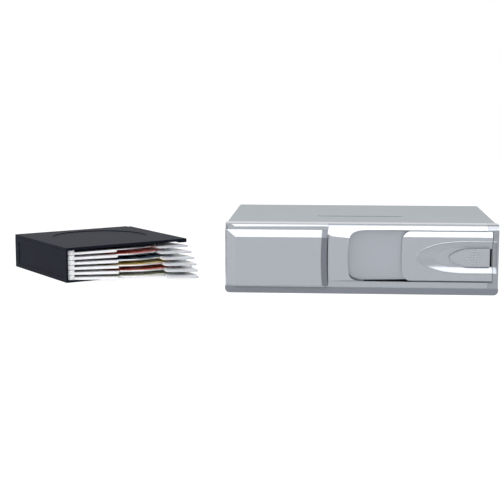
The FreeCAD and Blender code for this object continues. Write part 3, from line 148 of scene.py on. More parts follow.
blackAbs = mouldedPlastic("blackMouldedAbs", "12141C", "191C27", 0.5, 0.0011, 0.00002, gloss=0.03)
jetAbs = mouldedPlastic("blackSmoothAbs", "17181B", "1E1F23", 0.45, 0.0011, 0.00001, gloss=0.3)
# moulded grey POM track; its pale grey is also painted light, lifting the shade in the gap under
# the door
trackPomPaintedLight = mouldedPlastic("greyMouldedPomPaintedLight", "84888F", "8C9097", 0.45, 0.0012, 0.000008)
# black strips in the door's slot: painted shade where the slot lies in shadow
slotShadeBlack = mouldedPlastic("blackPaintedSlotShade", "0E0F12", "15161A", 0.9, 0.0008, 0.00005, gloss=0.05)
whiteAbs = mouldedPlastic("whiteMouldedPom", "E2E3E6", "EDEDEF", 0.4, 0.0012, 0.000008, 0.05)
tipPlastic = mouldedPlastic("lightGreyTipPlastic", "C4C7CC", "D2D5DA", 0.28, 0.0012, 0.000006,
                            0.15)
rubberCompound = mouldedPlastic("blackRubber", "131314", "1B1B1C", 0.8, 0.0009, 0.00003)

metalLook = {"stretch": 12, "streakHigh": 0.000004}


def metalSheet(name, low, high, rough, streak):
    # rolled or drawn metal: fine streaks along X from the mill
    material, tree, place = newMaterial(name)
    stretched = addNode(tree, "Mapping", {"Scale": (1 / metalLook["stretch"], 1, 1)},
                        {"Vector": place}).outputs[0]
    colour = varied(tree, stretched, low, high, streak)
    surface = addNode(tree, "BsdfPrincipled", {"Metallic": 1.0, "Roughness": rough},
                      {"Base Color": colour})
    endMaterial(tree, surface, grain(tree, stretched, streak, metalLook["streakHigh"]))
    return material


zincSheet = metalSheet("zincPlatedSheet", "A9ABAA", "BEC0BF", 0.38, 0.0012)
groundSteel = metalSheet("groundSteelRod", "C2C4C6", "D0D2D4", 0.16, 0.0006)
drawnCan = metalSheet("drawnSteelCan", "A6A6A4", "B6B6B4", 0.3, 0.0015)
springWire = metalSheet("springSteelWire", "8E9092", "9EA0A2", 0.3, 0.0008)
blackSteel = metalSheet("blackenedScrewSteel", "3C3C3E", "4A4A4C", 0.4, 0.0008)

boardLook = {"mask": "0E5A2C", "copper": "1F7A40", "area": 0.00625, "rough": 0.35}
lensLook = {"low": "5C78B0", "high": "8C7CC0", "patch": 0.004, "rough": 0.05, "ior": 1.49}


def circuitLaminate():
    # glass-epoxy board under green solder mask, which is lighter over the copper areas
    material, tree, place = newMaterial("solderMaskedLaminate")
    cells = addNode(tree, "TexVoronoi", {"Scale": 1 / boardLook["area"]}, {"Vector": place})
    step = addNode(tree, "ValToRGB", links={"Fac": cells.outputs["Distance"]})
    step.color_ramp.elements[0].color = hexColour(boardLook["mask"])
    step.color_ramp.elements[1].color = hexColour(boardLook["copper"])
    surface = addNode(tree, "BsdfPrincipled", {"Roughness": boardLook["rough"]},
                      {"Base Color": step.outputs["Color"]})
    endMaterial(tree, surface)
    return material


def tintedLens():
    # moulded acrylic lens with a bluish anti-reflection coat
    material, tree, place = newMaterial("coatedAcrylicLens")
    colour = varied(tree, place, lensLook["low"], lensLook["high"], lensLook["patch"])
    surface = addNode(tree, "BsdfPrincipled", {
        "Roughness": lensLook["rough"], "IOR": lensLook["ior"], "Coat Weight": 1.0},
        {"Base Color": colour})
    endMaterial(tree, surface)
    return material


boardLaminate = circuitLaminate()
lensAcrylic = tintedLens()

finishes = {
    silverLacquer: ["left_panel", "front_bezel", "sliding_door", "thumb_grip"],
    capLacquerPaintedShade: ["end_cap"], leafLacquer: ["inner_shutter"], trimLacquerPaintedShade: ["lower_trim"],
    stripLacquer: ["accent_strip"], coverSteel: ["top_cover"], trackPomPaintedLight: ["door_track"],
    blackAbs: ["magazine_case", "magazine_lid"],
    jetAbs: ["angle_dial_left", "angle_dial_right", "bay_fascia", "magazine_pusher",
             "rear_socket", "turntable", "pickup_sled", "clamp_disc", "eject_key"],
    rubberCompound: ["rubber_dampers", "shutter_roller"],
    whiteAbs: ["cam_slide", "lift_pinion", "tray_lever"] + [f"tray_{i}" for i in range(1, 7)],
    zincSheet: ["chassis_base", "bay_tray", "bay_lid", "mech_frame", "play_deck", "clamp_arm"],
    groundSteel: ["guide_posts", "guide_rods", "lead_screw", "clamp_pin", "magazine_pin"],
    drawnCan: ["lift_motor", "spindle_motor", "sled_motor"],
    springWire: ["grip_spring", "pusher_spring"], blackSteel: ["case_screws"],
    boardLaminate: ["main_board"], lensAcrylic: ["pickup_lens"],
}
for material, names in finishes.items():
    for name in names:
        mesh = frame["nodes"][name].data
        mesh.materials.clear()
        mesh.materials.append(material)
print("materials made:", len(bpy.data.materials))


# moulded pieces get the soft edges that their tools give them, widths in millimetres

softEdges = {
    "thumb_grip": 0.7, "inner_shutter": 0.2, "lower_trim": 0.4, "top_cover": 0.35,
    "bay_fascia": 0.3, "magazine_case": 0.7, "magazine_lid": 0.6, "chassis_base": 0.2,
    "eject_key": 0.4, "angle_dial_left": 0.2, "angle_dial_right": 0.2, "rear_socket": 0.3,
    "magazine_pusher": 0.4,
}
joining = {"weld": 0.000004, "flat": 0.3}  # metres, degrees
bodies = frame["record"]["behaviour"]["bodies"]
bodyOf = {node: body for body, members in bodies.items() for node in members}


def pickOnly(piece):
    bpy.ops.object.select_all(action="DESELECT")
    piece.select_set(True)
    bpy.context.view_layer.objects.active = piece


def applyAll(piece):
    pickOnly(piece)
    for modifier in list(piece.modifiers):
        bpy.ops.object.modifier_apply(modifier=modifier.name)


def seat(piece, body):
    # object back to the origin with its place in its mesh, then onto its body
    pickOnly(piece)
    bpy.ops.object.transform_apply(location=True, rotation=True, scale=True)
    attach(piece, body)


def welded(name):
    # copy of a node's mesh with its loose triangles joined
    source = frame["nodes"][name]
    piece = bpy.data.objects.new(name + ".soft", source.data.copy())
    bpy.context.scene.collection.objects.link(piece)
    joinFaces(piece)
    return piece


def joinFaces(piece):
    # merges doubled points and turns flat runs of triangles into whole faces
    pickOnly(piece)
    bpy.ops.object.mode_set(mode="EDIT")
    bpy.ops.mesh.select_all(action="SELECT")
    bpy.ops.mesh.remove_doubles(threshold=joining["weld"])
    bpy.ops.mesh.dissolve_limited(angle_limit=math.radians(joining["flat"]), delimit=set())
    bpy.ops.object.mode_set(mode="OBJECT")


def rounded(piece, width, limit=34, smooth=32):
    # edges sharper than the limit get a radius; width in millimetres, limit and smooth in degrees
    bevel = piece.modifiers.new("edge", "BEVEL")
    bevel.width = width / 1000
    bevel.segments = 2
    bevel.limit_method = "ANGLE"
    bevel.angle_limit = math.radians(limit)
    bevel.use_clamp_overlap = True
    applyAll(piece)
    bpy.ops.object.shade_smooth_by_angle(angle=math.radians(smooth))
    piece.modifiers.new("faces", "WEIGHTED_NORMAL").keep_sharp = True
    applyAll(piece)


def takePlace(piece, name):
    # the piece rides on the node's body and stands in for it
    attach(piece, bodyOf[name])
    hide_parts(name)


def softened(name, width):
    piece = welded(name)
    rounded(piece, width)
    takePlace(piece, name)


def bend(start, knee, end, steps=10):
    # points of a curve that leaves start and reaches end along the lines through the knee
    curve = []
    for step in range(steps + 1):
        t = step / steps
        curve.append(tuple(a * (1 - t) ** 2 + b * 2 * t * (1 - t) + c * t * t
                           for a, b, c in zip(start, knee, end)))
    return curve


def outlineBlock(points, plane, low, high):
    # straight-sided block on an outline, all in millimetres; the circle only lends its points
    first, second, along = {"XZ": (0, 2, 1), "YZ": (1, 2, 0), "XY": (0, 1, 2)}[plane]
    bpy.ops.object.select_all(action="DESELECT")
    bpy.ops.mesh.primitive_circle_add(vertices=len(points), radius=0.01, fill_type="NGON")
    piece = bpy.context.object
    for vertex, point in zip(piece.data.vertices, points):
        vertex.co[first], vertex.co[second] = point[0] / 1000, point[1] / 1000
        vertex.co[along] = low / 1000
    rise = [0.0, 0.0, 0.0]
    rise[along] = (high - low) / 1000
    bpy.ops.object.mode_set(mode="EDIT")
    bpy.ops.mesh.select_all(action="SELECT")
    bpy.ops.mesh.extrude_region_move(TRANSFORM_OT_translate={"value": rise})
    bpy.ops.mesh.select_all(action="SELECT")
    bpy.ops.mesh.normals_make_consistent(inside=False)
    bpy.ops.object.mode_set(mode="OBJECT")
    return piece


def combine(piece, tool, operation):
    # Boolean with a tool piece, which is used up
    change = piece.modifiers.new("shape", "BOOLEAN")
    change.operation, change.object, change.solver = operation, tool, "EXACT"
    applyAll(piece)
    bpy.data.objects.remove(tool)


def shiftedX(piece, knots):
    # slides the piece's points along X by amounts read between the knots, in millimetres
    for vertex in piece.data.vertices:
        x = vertex.co.x * 1000
        for (fromX, fromShift), (toX, toShift) in zip(knots, knots[1:]):
            if fromX <= x <= toX:
                share = (x - fromX) / (toX - fromX)
                vertex.co.x += (fromShift + share * (toShift - fromShift)) / 1000
                break


for name, width in softEdges.items():
    softened(name, width)
print("soft edges:", len(softEdges))


# front moulding: the solids' own pieces, with swept corners, a lipped scoop and closed seams.
# Its sizes are in millimetres, in the frame's own axes. Tool blocks reach 1 to 3 mm past a piece.

front = {"face": -86.1, "crown": -89.0, "body": -68.0, "band": (12.1, 60.7), "trimTop": 6.5,
         "top": 66.0, "right": 128.5}
scoop = {"tip": 52.2, "nose": 44.4, "end": 126.4, "height": 35.5, "curve": 26.0, "half": 14.9,
         "deep": 3.0, "sides": 120, "steps": 16, "lip": 0.6, "lipSink": 0.28, "lipSteps": 40,
         "lipSide": 0.3, "lipEnd": 0.4}


def scoopOffset():
    # how far the barrel's axis stands in front of the face
    return math.sqrt(scoop["curve"] ** 2 - scoop["half"] ** 2)


def scoopReach(x):
    # radius of the barrel at a place along it: an arc over the nose, then straight
    start = scoopOffset()
    along = min(1.0, max(0.0, (x - scoop["tip"]) / scoop["nose"]))
    return start + (scoop["curve"] - start) * (1 - (1 - along) ** 2)


def scoopTool():
    # barrel lying along X in front of the door, cut flat where the thumb pad sits
    axisY, z = (front["face"] - scoopOffset()) / 1000, scoop["height"] / 1000
    steps = scoop["steps"]
    stations = [scoop["tip"] + scoop["nose"] * step / steps for step in range(steps + 1)]
    stations.append(scoop["end"])
    bpy.ops.object.select_all(action="DESELECT")
    bpy.ops.mesh.primitive_circle_add(
        vertices=scoop["sides"], radius=scoopReach(stations[0]) / 1000, fill_type="NGON",
        location=(stations[0] / 1000, axisY, z), rotation=(0, math.radians(90), 0))
    tool = bpy.context.object
    bpy.ops.object.transform_apply(location=True, rotation=True, scale=True)
    bpy.ops.object.mode_set(mode="EDIT")
    bpy.ops.mesh.select_all(action="SELECT")
    for before, after in zip(stations, stations[1:]):
        grow = scoopReach(after) / scoopReach(before)
        bpy.ops.mesh.extrude_region_move(
            TRANSFORM_OT_translate={"value": ((after - before) / 1000, 0, 0)})
        bpy.ops.transform.resize(value=(1, grow, grow), center_override=(after / 1000, axisY, z))
    bpy.ops.mesh.select_all(action="SELECT")
    bpy.ops.mesh.bisect(plane_co=(0, (front["face"] + scoop["deep"]) / 1000, 0),
                        plane_no=(0, 1, 0), use_fill=True, clear_outer=True)
    bpy.ops.mesh.select_all(action="SELECT")
    bpy.ops.mesh.normals_make_consistent(inside=False)
    bpy.ops.object.mode_set(mode="OBJECT")
    return tool


def lipTube(name, fromX, toX, body):
    # soft bead along the scoop's rim, sunk by half in the face
    start, steps = scoopOffset(), scoop["lipSteps"]
    y, height = (front["face"] + scoop["lipSink"]) / 1000, scoop["height"]
    across = [fromX + (toX - fromX) * (step / steps) ** 2 for step in range(steps + 1)]
    halves = [math.sqrt(max(0.0, scoopReach(x) ** 2 - start ** 2)) for x in across]
    upper = [(x / 1000, y, (height + half) / 1000) for x, half in zip(across, halves)]
    lower = [(x / 1000, y, (height - half) / 1000) for x, half in zip(across, halves)]
    runs = [upper[::-1] + lower[1:]] if halves[0] == 0.0 else [upper, lower]
    path = bpy.data.curves.new(name, "CURVE")
    path.dimensions = "3D"
    path.bevel_depth = scoop["lip"] / 1000
    path.bevel_resolution = 3
    path.use_fill_caps = True
    for run in runs:
        spline = path.splines.new("POLY")
        spline.points.add(len(run) - 1)
        for point, place in zip(spline.points, run):
            point.co = (*place, 1.0)
    bead = bpy.data.objects.new(name, path)
    bpy.context.scene.collection.objects.link(bead)
    pickOnly(bead)
    bpy.ops.object.convert(target="MESH")
    bead = bpy.context.object
    bpy.ops.object.shade_smooth()
    bead.data.materials.append(silverLacquer)
    seat(bead, body)


doorShape = {"edges": (37.7, 122.4), "sweep": (14.5, 9.5), "bow": 0.6, "knee": 1.2, "belly": 0.2,
             "past": 4, "pastRight": 2, "soft": 0.16}


def slidingDoor():
    # cut to an outline whose left corners sweep in and whose left edge bows out a little
    shape = doorShape
    left, right = shape["edges"]
    low, high = front["band"]
    wide, tall = shape["sweep"]
    past, pastRight = shape["past"], right + shape["pastRight"]
    bowed, knee = left + shape["bow"], left + shape["bow"] + shape["knee"]
    corners = ([(left + wide, low - past), (left + wide, low), (pastRight, low - past),
                (pastRight, high + past), (left + wide, high + past)]
               + bend((left + wide, high), (knee, high), (bowed, high - tall))
               + [(left + shape["belly"], (low + high) / 2)]
               + bend((bowed, low + tall), (knee, low), (left + wide, low))[:-1])
    piece = welded("sliding_door")
    combine(piece, outlineBlock(corners, "XZ", front["crown"] - 2, front["body"]), "INTERSECT")
    combine(piece, scoopTool(), "DIFFERENCE")
    joinFaces(piece)
    rounded(piece, shape["soft"], 20, 18)
    takePlace(piece, "sliding_door")


capShape = {"left": 118.35, "middle": 122.8, "arm": 5.0, "turn": 1.5, "chin": 2.6,
            "brow": (4.1, 5.6, 9), "browHigh": 64.6, "tongueTop": 54.56, "cornerX": 3,
            "cornerY": (1, 6), "floor": 7.9, "roof": 62.6, "wall": 1.5, "hollowWide": 9,
            "skin": -80.6, "soft": 0.22}


def capSection():
    # crowned section, seen from the side
    crown, low, high = front["crown"], *front["band"]
    brow = [crown + back for back in capShape["brow"]]
    return ([(front["body"], front["trimTop"]), (crown + capShape["chin"], front["trimTop"]),
             (front["face"], low), (front["face"], capShape["tongueTop"])]
            + bend((brow[0], high), (brow[1], capShape["browHigh"]), (brow[2], front["top"]), 6)
            + [(front["body"], front["top"])])


def capMouth():
    # the opening round the door's end, seen from the front
    middle, turn, leftOut = capShape["middle"], capShape["turn"], capShape["left"] - 2
    upper, lower = front["top"] - capShape["arm"], front["trimTop"] + capShape["arm"]
    return ([(leftOut, upper)]
            + bend((middle - turn, upper), (middle, upper), (middle, upper - turn), 4)
            + bend((middle, lower + turn), (middle, lower), (middle - turn, lower), 4)
            + [(leftOut, lower)])


def capPlan():
    # the rounded corner, seen from above
    left, right, crown = capShape["left"] - 1, front["right"], front["crown"]
    near, far = (crown + back for back in capShape["cornerY"])
    start = right - capShape["cornerX"]
    return ([(left, crown - 1), (start, crown - 1)]
            + bend((start, crown), (right, near), (right, far), 8)
            + [(right, front["body"]), (left, front["body"])])


def endCap():
    # the whole corner piece, cut to its three outlines, with the scoop carried on into it
    shape = capShape
    piece = outlineBlock(capSection(), "YZ", shape["left"], front["right"])
    piece.name = "endCapShell"
    back = front["body"] + 1
    combine(piece, outlineBlock(capMouth(), "XZ", front["crown"] - 2, back), "DIFFERENCE")
    combine(piece, outlineBlock(capPlan(), "XY", front["trimTop"] - 1, front["top"] + 1),
            "INTERSECT")
    combine(piece, scoopTool(), "DIFFERENCE")
    inner, outer = shape["middle"] - shape["hollowWide"], front["right"] - shape["wall"]
    hollow = [(inner, shape["floor"]), (outer, shape["floor"]), (outer, shape["roof"]),
              (inner, shape["roof"])]
    combine(piece, outlineBlock(hollow, "XZ", shape["skin"], back), "DIFFERENCE")
    joinFaces(piece)
    # the cap takes the darkened lacquer, which is painted shade
    piece.data.materials.clear()
    piece.data.materials.append(capLacquerPaintedShade)
    rounded(piece, shape["soft"], 20, 18)
    takePlace(piece, "end_cap")


bezelShape = {
    "slide": [(-60, 0), (-33.2, 2.5), (-16.6, 4.9), (1.0, 4.9), (6.0, 0)],
    "left": -10.9, "cut": 5.3, "knee": 1.5, "top": 7.5, "low": 6.0, "bow": 1.4, "past": 20,
    "corner": [(-128.0, -74.0), (-128.0, -80.6), (-126.0, -83.6), (-118.0, -84.3),
               (-118.0, -74.0)],
    "cornerHigh": (58.0, 64.6), "rimFall": 1.4, "rimEnds": -31.0, "rimFront": -81.4,
    "rimFrom": 62.3, "tunnelEdge": (-83.7, 62.9), "near": 0.1, "soft": 0.2,
}


def bezelWindow():
    # the window's outline: swept corners and a left edge that bows out
    shape = bezelShape
    left, cut, knee = shape["left"], shape["cut"], shape["left"] + shape["knee"]
    low, high = front["band"]
    bowed = [(left - shape["bow"] * out, high * share + low * (1 - share))
             for out, share in ((0.6, 0.72), (1.0, 0.5), (0.6, 0.28))]
    return (bend((left, low + shape["low"]), (knee, low), (cut, low))
            + [(cut + shape["past"], low), (cut + shape["past"], high)]
            + bend((cut, high), (knee, high), (left, high - shape["top"])) + bowed)


def frontBezel():
    shape = bezelShape
    piece = welded("front_bezel")
    shiftedX(piece, shape["slide"])
    combine(piece, outlineBlock(bezelWindow(), "XZ", front["crown"] - 3, front["body"] + 1),
            "DIFFERENCE")
    combine(piece, outlineBlock(shape["corner"], "XY", *shape["cornerHigh"]), "UNION")
    edgeY, edgeZ = shape["tunnelEdge"]
    for vertex in piece.data.vertices:
        # the rim over the panel falls in one long curve, the tunnel behind it stays
        x, y, z = vertex.co * 1000
        inTunnel = abs(y - edgeY) < shape["near"] and abs(z - edgeZ) < shape["near"]
        onRim = x < shape["rimEnds"] and y < shape["rimFront"] and z > shape["rimFrom"]
        if onRim and not inTunnel:
            vertex.co.z = (front["top"] - (front["top"] - z) * shape["rimFall"]) / 1000
    joinFaces(piece)
    rounded(piece, shape["soft"], 20, 18)
    takePlace(piece, "front_bezel")


# black strips of painted shade in the door's slot; rises are measured from the band's upper and
# lower edge
slotShadeShape = {
    "upper": [(3.0, 2.1), (3.0, -0.5), (30.0, -0.9), (58.0, -1.5), (58.0, 2.1)],
    "lower": [(3.0, -0.8), (58.0, -0.8), (58.0, 2.2), (36.0, 1.4), (3.0, 0.7)],
    "depth": (-81.6, -81.0),
}


def slotShadeStrips():
    # black strips between the shutter and the window's upper and lower edge: painted shade, dark
    # pieces standing in for the shadow in the door's slot
    low, high = front["band"]
    for name, edge, outline in (("slotShadeUpper", high, "upper"), ("slotShadeLower", low, "lower")):
        points = [(x, edge + rise) for x, rise in slotShadeShape[outline]]
        seal = outlineBlock(points, "XZ", *slotShadeShape["depth"])
        seal.name = name
        seal.data.materials.append(slotShadeBlack)
        seat(seal, "changer")


panelShape = {"slide": [(-110, 0), (-38.0, 3.4), (-30, 3.4)], "soft": 0.6}
stripShape = {"slide": [(-44, 3.4), (-39.35, 3.4), (-33.7, 2.85), (-30, 2.85)], "soft": 0.2}


def panelAndStrip():
    # both are stretched towards the ridge, so that the strip meets it
    for name, shape in (("left_panel", panelShape), ("accent_strip", stripShape)):
        piece = welded(name)
        shiftedX(piece, shape["slide"])
        rounded(piece, shape["soft"], 14, 12)
        takePlace(piece, name)


slidingDoor()
lipTube("scoopLipDoor", scoop["tip"], doorShape["edges"][1] - scoop["lipSide"], "door")
endCap()
lipTube("scoopLipCap", capShape["middle"] + scoop["lipSide"], scoop["end"] - scoop["lipEnd"],
        "changer")
frontBezel()
panelAndStrip()
slotShadeStrips()
print("front moulding shaped")


# trays: rims planed to the disc, wide mouths, and far tips coloured light grey.
# Millimetres and degrees; the reach is the disc's middle from the pin.

trayShape = {"reach": (59.5, 62.5), "rimTop": 3.0, "near": 0.05, "flush": 2.25, "mouthTurn": 9.0,
             "mouthHalf": 24.0, "mouthFrom": 52.0, "mouthTo": 78.0, "soft": 0.2,
             "tipFrom": 98.0, "tipSide": 0.35}


def trayMouth(middle, turn):
    # the mouth's outline: a box that points away from the pin, at the given turn
    along = (math.cos(turn), math.sin(turn))
    across = (-math.sin(turn), math.cos(turn))
    half, start, end = trayShape["mouthHalf"], trayShape["mouthFrom"], trayShape["mouthTo"]
    return [(middle.x * 1000 + along[0] * out + across[0] * side,
             middle.y * 1000 + along[1] * out + across[1] * side)
            for out, side in ((start, -half), (end, -half), (end, half), (start, half))]


def tray(number):
    # the rim is planed flush with the disc and the mouth widened, so that the disc's edge shows
    shape, name = trayShape, f"tray_{number}"
    low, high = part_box(name)
    discLow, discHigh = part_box(f"disc_{number}")
    middle = (discLow + discHigh) / 2
    pinLow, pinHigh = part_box("magazine_pin")
    pin = (pinLow + pinHigh) / 2
    reachX, reachY = shape["reach"]
    turn = math.atan2(middle.y - pin.y, middle.x - pin.x) - math.atan2(reachY, -reachX)
    piece = welded(name)
    for vertex in piece.data.vertices:
        if abs((vertex.co.z - low.z) * 1000 - shape["rimTop"]) < shape["near"]:
            vertex.co.z = low.z + shape["flush"] / 1000
    mouth = trayMouth(middle, turn + math.radians(shape["mouthTurn"]))
    combine(piece, outlineBlock(mouth, "XY", low.z * 1000 - 1, high.z * 1000 + 1), "DIFFERENCE")
    joinFaces(piece)
    rounded(piece, shape["soft"])
    takePlace(piece, name)
    clearTip(piece, pin, middle - pin)


def clearTip(piece, pin, pinToDisc):
    # the faces beyond the disc, on its far side, take the light grey tip colour
    piece.data.materials.append(tipPlastic)
    for face in piece.data.polygons:
        away = face.center - pin
        away.z = 0
        beside = away.normalized().cross(pinToDisc.normalized()).z
        if away.length * 1000 > trayShape["tipFrom"] and beside > trayShape["tipSide"]:
            face.material_index = 1


for number in range(1, 7):
    tray(number)
print("trays shaped: 6")


# discs with a printed face, a silver hub ring and a stacking ridge; radii in metres

discRing = {
    "hole": 0.0075, "hubEnd": 0.0165, "ridge": 0.0172, "ridgeEnd": 0.0182, "ridgeFoot": 0.0007,
    "mirror": 0.0225, "accentFrom": 0.0555, "accentTo": 0.0572, "print": 0.0589, "rim": 0.06,
    "thick": 0.0012, "ridgeHigh": 0.0002, "round": 0.0002, "sides": 128, "weld": 0.00001,
}
printLook = {"wander": 2.0, "edge": 0.62, "silver": "C9CCD1", "metal": 0.9, "rough": 0.2,
             "coat": 0.3, "coatRough": 0.08}
# print colours, each lifted paler than the print: painted light that makes up for the shade
# between the trays
discPrintsPaintedLight = [
    {"base": "D9DBDE", "second": "BFC4CA", "accent": "9DA6B0", "bands": 3, "turn": 20},
    {"base": "F8857C", "second": "EE6058", "accent": "F6C9C2", "bands": 4, "turn": 65},
    {"base": "3E5670", "second": "30445C", "accent": "6A7F92", "bands": 3, "turn": 110},
    {"base": "FCE98A", "second": "FDF2C0", "accent": "E48A34", "bands": 4, "turn": 155},
    {"base": "F0927C", "second": "DE6C60", "accent": "F0C2AC", "bands": 5, "turn": 200},
    {"base": "F4F4E2", "second": "ECEFD2", "accent": "CFDCB2", "bands": 3, "turn": 245},
]
playedLook = {"scale": 14.0, "first": "C6CCDA", "last": "DCD8C8", "metal": 0.95, "rough": 0.12,
              "between": ((0.35, "C6CCDA"), (0.5, "D6CFE0"), (0.65, "CFE0D2"))}


def discFace(number, middle, look):
    # screen-printed lacquer on polycarbonate: two colours in bands, an accent ring, silver inside.
    # The print colours are lifted paler with painted light, against the shade between the trays
    material, tree, place = newMaterial(f"printedPolycarbonatePaintedLight{number}")
    centred = addNode(tree, "Mapping", {"Location": (-middle.x, -middle.y, 0.0)},
                      {"Vector": place}).outputs[0]
    flat = addNode(tree, "VectorMath", {"operation": "MULTIPLY", 1: (1.0, 1.0, 0.0)},
                   {0: centred}).outputs[0]
    reach = addNode(tree, "VectorMath", {"operation": "LENGTH"}, {0: flat}).outputs["Value"]
    turned = addNode(tree, "Mapping", {"Rotation": (0.0, 0.0, math.radians(look["turn"])),
                                       "Scale": (look["bands"] * 2.0,) * 3},
                     {"Vector": centred}).outputs[0]
    wave = addNode(tree, "TexWave", {"Scale": 1.0, "Distortion": printLook["wander"],
                                     "Detail": 0.0, "Detail Scale": 1.0}, {"Vector": turned})
    band = addNode(tree, "Math", {"operation": "GREATER_THAN", 1: printLook["edge"]},
                   {0: wave.outputs["Fac"]}).outputs[0]
    printed = addNode(tree, "Mix", {"data_type": "RGBA", 6: hexColour(look["base"]),
                                    7: hexColour(look["second"])}, {0: band}).outputs[2]

    def ringMask(low, high):
        above = addNode(tree, "Math", {"operation": "GREATER_THAN", 1: low}, {0: reach}).outputs[0]
        below = addNode(tree, "Math", {"operation": "LESS_THAN", 1: high}, {0: reach}).outputs[0]
        return addNode(tree, "Math", {"operation": "MULTIPLY"}, {0: above, 1: below}).outputs[0]

    accentRing = ringMask(discRing["accentFrom"], discRing["accentTo"])
    accent = addNode(tree, "Mix", {"data_type": "RGBA", 7: hexColour(look["accent"])},
                     {0: accentRing, 6: printed}).outputs[2]
    printRing = ringMask(discRing["mirror"], discRing["print"])
    colour = addNode(tree, "Mix", {"data_type": "RGBA", 6: hexColour(printLook["silver"])},
                     {0: printRing, 7: accent}).outputs[2]
    covered = addNode(tree, "Math", {"operation": "MULTIPLY", 1: printLook["metal"]},
                      {0: printRing}).outputs[0]
    metal = addNode(tree, "Math", {"operation": "SUBTRACT", 0: printLook["metal"]},
                    {1: covered}).outputs[0]
    surface = addNode(tree, "BsdfPrincipled", {
        "Roughness": printLook["rough"], "Coat Weight": printLook["coat"],
        "Coat Roughness": printLook["coatRough"]}, {"Base Color": colour, "Metallic": metal})
    endMaterial(tree, surface)
    return material


def playedSide():
    # aluminised playing side: a mirror whose fine tracks split light into faint colours
    material, tree, place = newMaterial("aluminisedPlayingSide")
    noise = addNode(tree, "TexNoise", {"Scale": playedLook["scale"]}, {"Vector": place})
    tint = addNode(tree, "ValToRGB", links={"Fac": noise.outputs["Fac"]})
    for position, colour in playedLook["between"]:
        stop = tint.color_ramp.elements.new(position)
        stop.color = hexColour(colour)
    tint.color_ramp.elements[0].color = hexColour(playedLook["first"])
    tint.color_ramp.elements[-1].color = hexColour(playedLook["last"])
    surface = addNode(tree, "BsdfPrincipled", {
        "Metallic": playedLook["metal"], "Roughness": playedLook["rough"]},
        {"Base Color": tint.outputs["Color"]})
    endMaterial(tree, surface)
    return material


playedFace = playedSide()


def discProfile():
    # radius and height of each edge, from the hole outwards over the top and back below
    ring, top = discRing, discRing["thick"]
    return [(ring["hubEnd"], top), (ring["ridge"], top + ring["ridgeHigh"]),
            (ring["ridgeEnd"], top + ring["ridgeHigh"]),
            (ring["ridgeEnd"] + ring["ridgeFoot"], top), (ring["print"], top),
            (ring["rim"] - ring["round"], top), (ring["rim"], top - ring["round"]),
            (ring["rim"], ring["round"]), (ring["rim"] - ring["round"], 0.0),
            (ring["mirror"], 0.0), (ring["hole"], 0.0), (ring["hole"], top)]


def blankDisc():
    # one disc round the origin, its playing side on the XY plane, for all six to be copied from
    lastR, lastZ = discRing["hole"], discRing["thick"]
    bpy.ops.object.select_all(action="DESELECT")
    bpy.ops.mesh.primitive_circle_add(vertices=discRing["sides"], radius=lastR,
                                      location=(0, 0, lastZ))
    blank = bpy.context.object
    bpy.ops.object.mode_set(mode="EDIT")
    bpy.ops.mesh.select_all(action="SELECT")
    for r, z in discProfile():
        bpy.ops.mesh.extrude_region_move(TRANSFORM_OT_translate={"value": (0, 0, z - lastZ)})
        bpy.ops.transform.resize(value=(r / lastR, r / lastR, 1), center_override=(0, 0, z))
        lastR, lastZ = r, z
    bpy.ops.mesh.select_all(action="SELECT")
    bpy.ops.mesh.remove_doubles(threshold=discRing["weld"])
    bpy.ops.mesh.normals_make_consistent(inside=False)
    bpy.ops.object.mode_set(mode="OBJECT")
    bpy.ops.object.transform_apply(location=True, rotation=True, scale=True)
    for face in blank.data.polygons:
        face.material_index = 1 if face.normal.z < -0.5 else 0
    bpy.ops.object.shade_smooth_by_angle(angle=math.radians(30))
    return blank


def disc(number, blank):
    low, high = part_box(f"disc_{number}")
    middle = (low + high) / 2
    pickOnly(blank)
    bpy.ops.object.duplicate()
    piece = bpy.context.object
    piece.name = f"printedDisc{number}"
    piece.location = (middle.x, middle.y, low.z)
    piece.data.materials.append(discFace(number, middle, discPrintsPaintedLight[number - 1]))
    piece.data.materials.append(playedFace)
    seat(piece, f"tray_set_{number}")
    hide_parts(f"disc_{number}")


blank = blankDisc()
for number in range(1, 7):
    disc(number, blank)
bpy.data.objects.remove(blank)
print("discs printed: 6")


# bumps on the thumb grip, set as an arrowhead; metres

gripBumps = {"radius": 0.00078, "high": 0.00055, "sink": 0.00005, "pitchX": 0.0024,
             "pitchZ": 0.0023, "startX": 0.0168, "columns": [2, 4, 6, 6, 6], "sides": (12, 6)}


def bumps():
    # one flattened ball, copied to each place, then joined to one piece
    low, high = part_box("thumb_grip")
    size = gripBumps
    spots = [(low.x + size["startX"] + column * size["pitchX"], low.y + size["sink"],
              (low.z + high.z) / 2 + (row - (count - 1) / 2) * size["pitchZ"])
             for column, count in enumerate(size["columns"]) for row in range(count)]
    bpy.ops.object.select_all(action="DESELECT")
    bpy.ops.mesh.primitive_uv_sphere_add(segments=size["sides"][0], ring_count=size["sides"][1],
                                         radius=size["radius"], location=spots[0])
    made = [bpy.context.object]
    made[0].scale.y = size["high"] / size["radius"]
    for spot in spots[1:]:
        pickOnly(made[0])
        bpy.ops.object.duplicate()
        made.append(bpy.context.object)
        made[-1].location = spot
    for bump in made:
        bump.select_set(True)
    bpy.context.view_layer.objects.active = made[0]
    bpy.ops.object.join()
    piece = bpy.context.object
    piece.name = "gripBumps"
    bpy.ops.object.shade_smooth()
    piece.data.materials.append(silverLacquer)
    seat(piece, "grip")


bumps()
print("grip bumps set")


# room, lamps and camera

roomLook = {"floor": 14.0, "drop": 0.0002, "floorWhite": "F2F3F4", "share": 0.76, "glow": 1.2,
            "sky": 0.42}


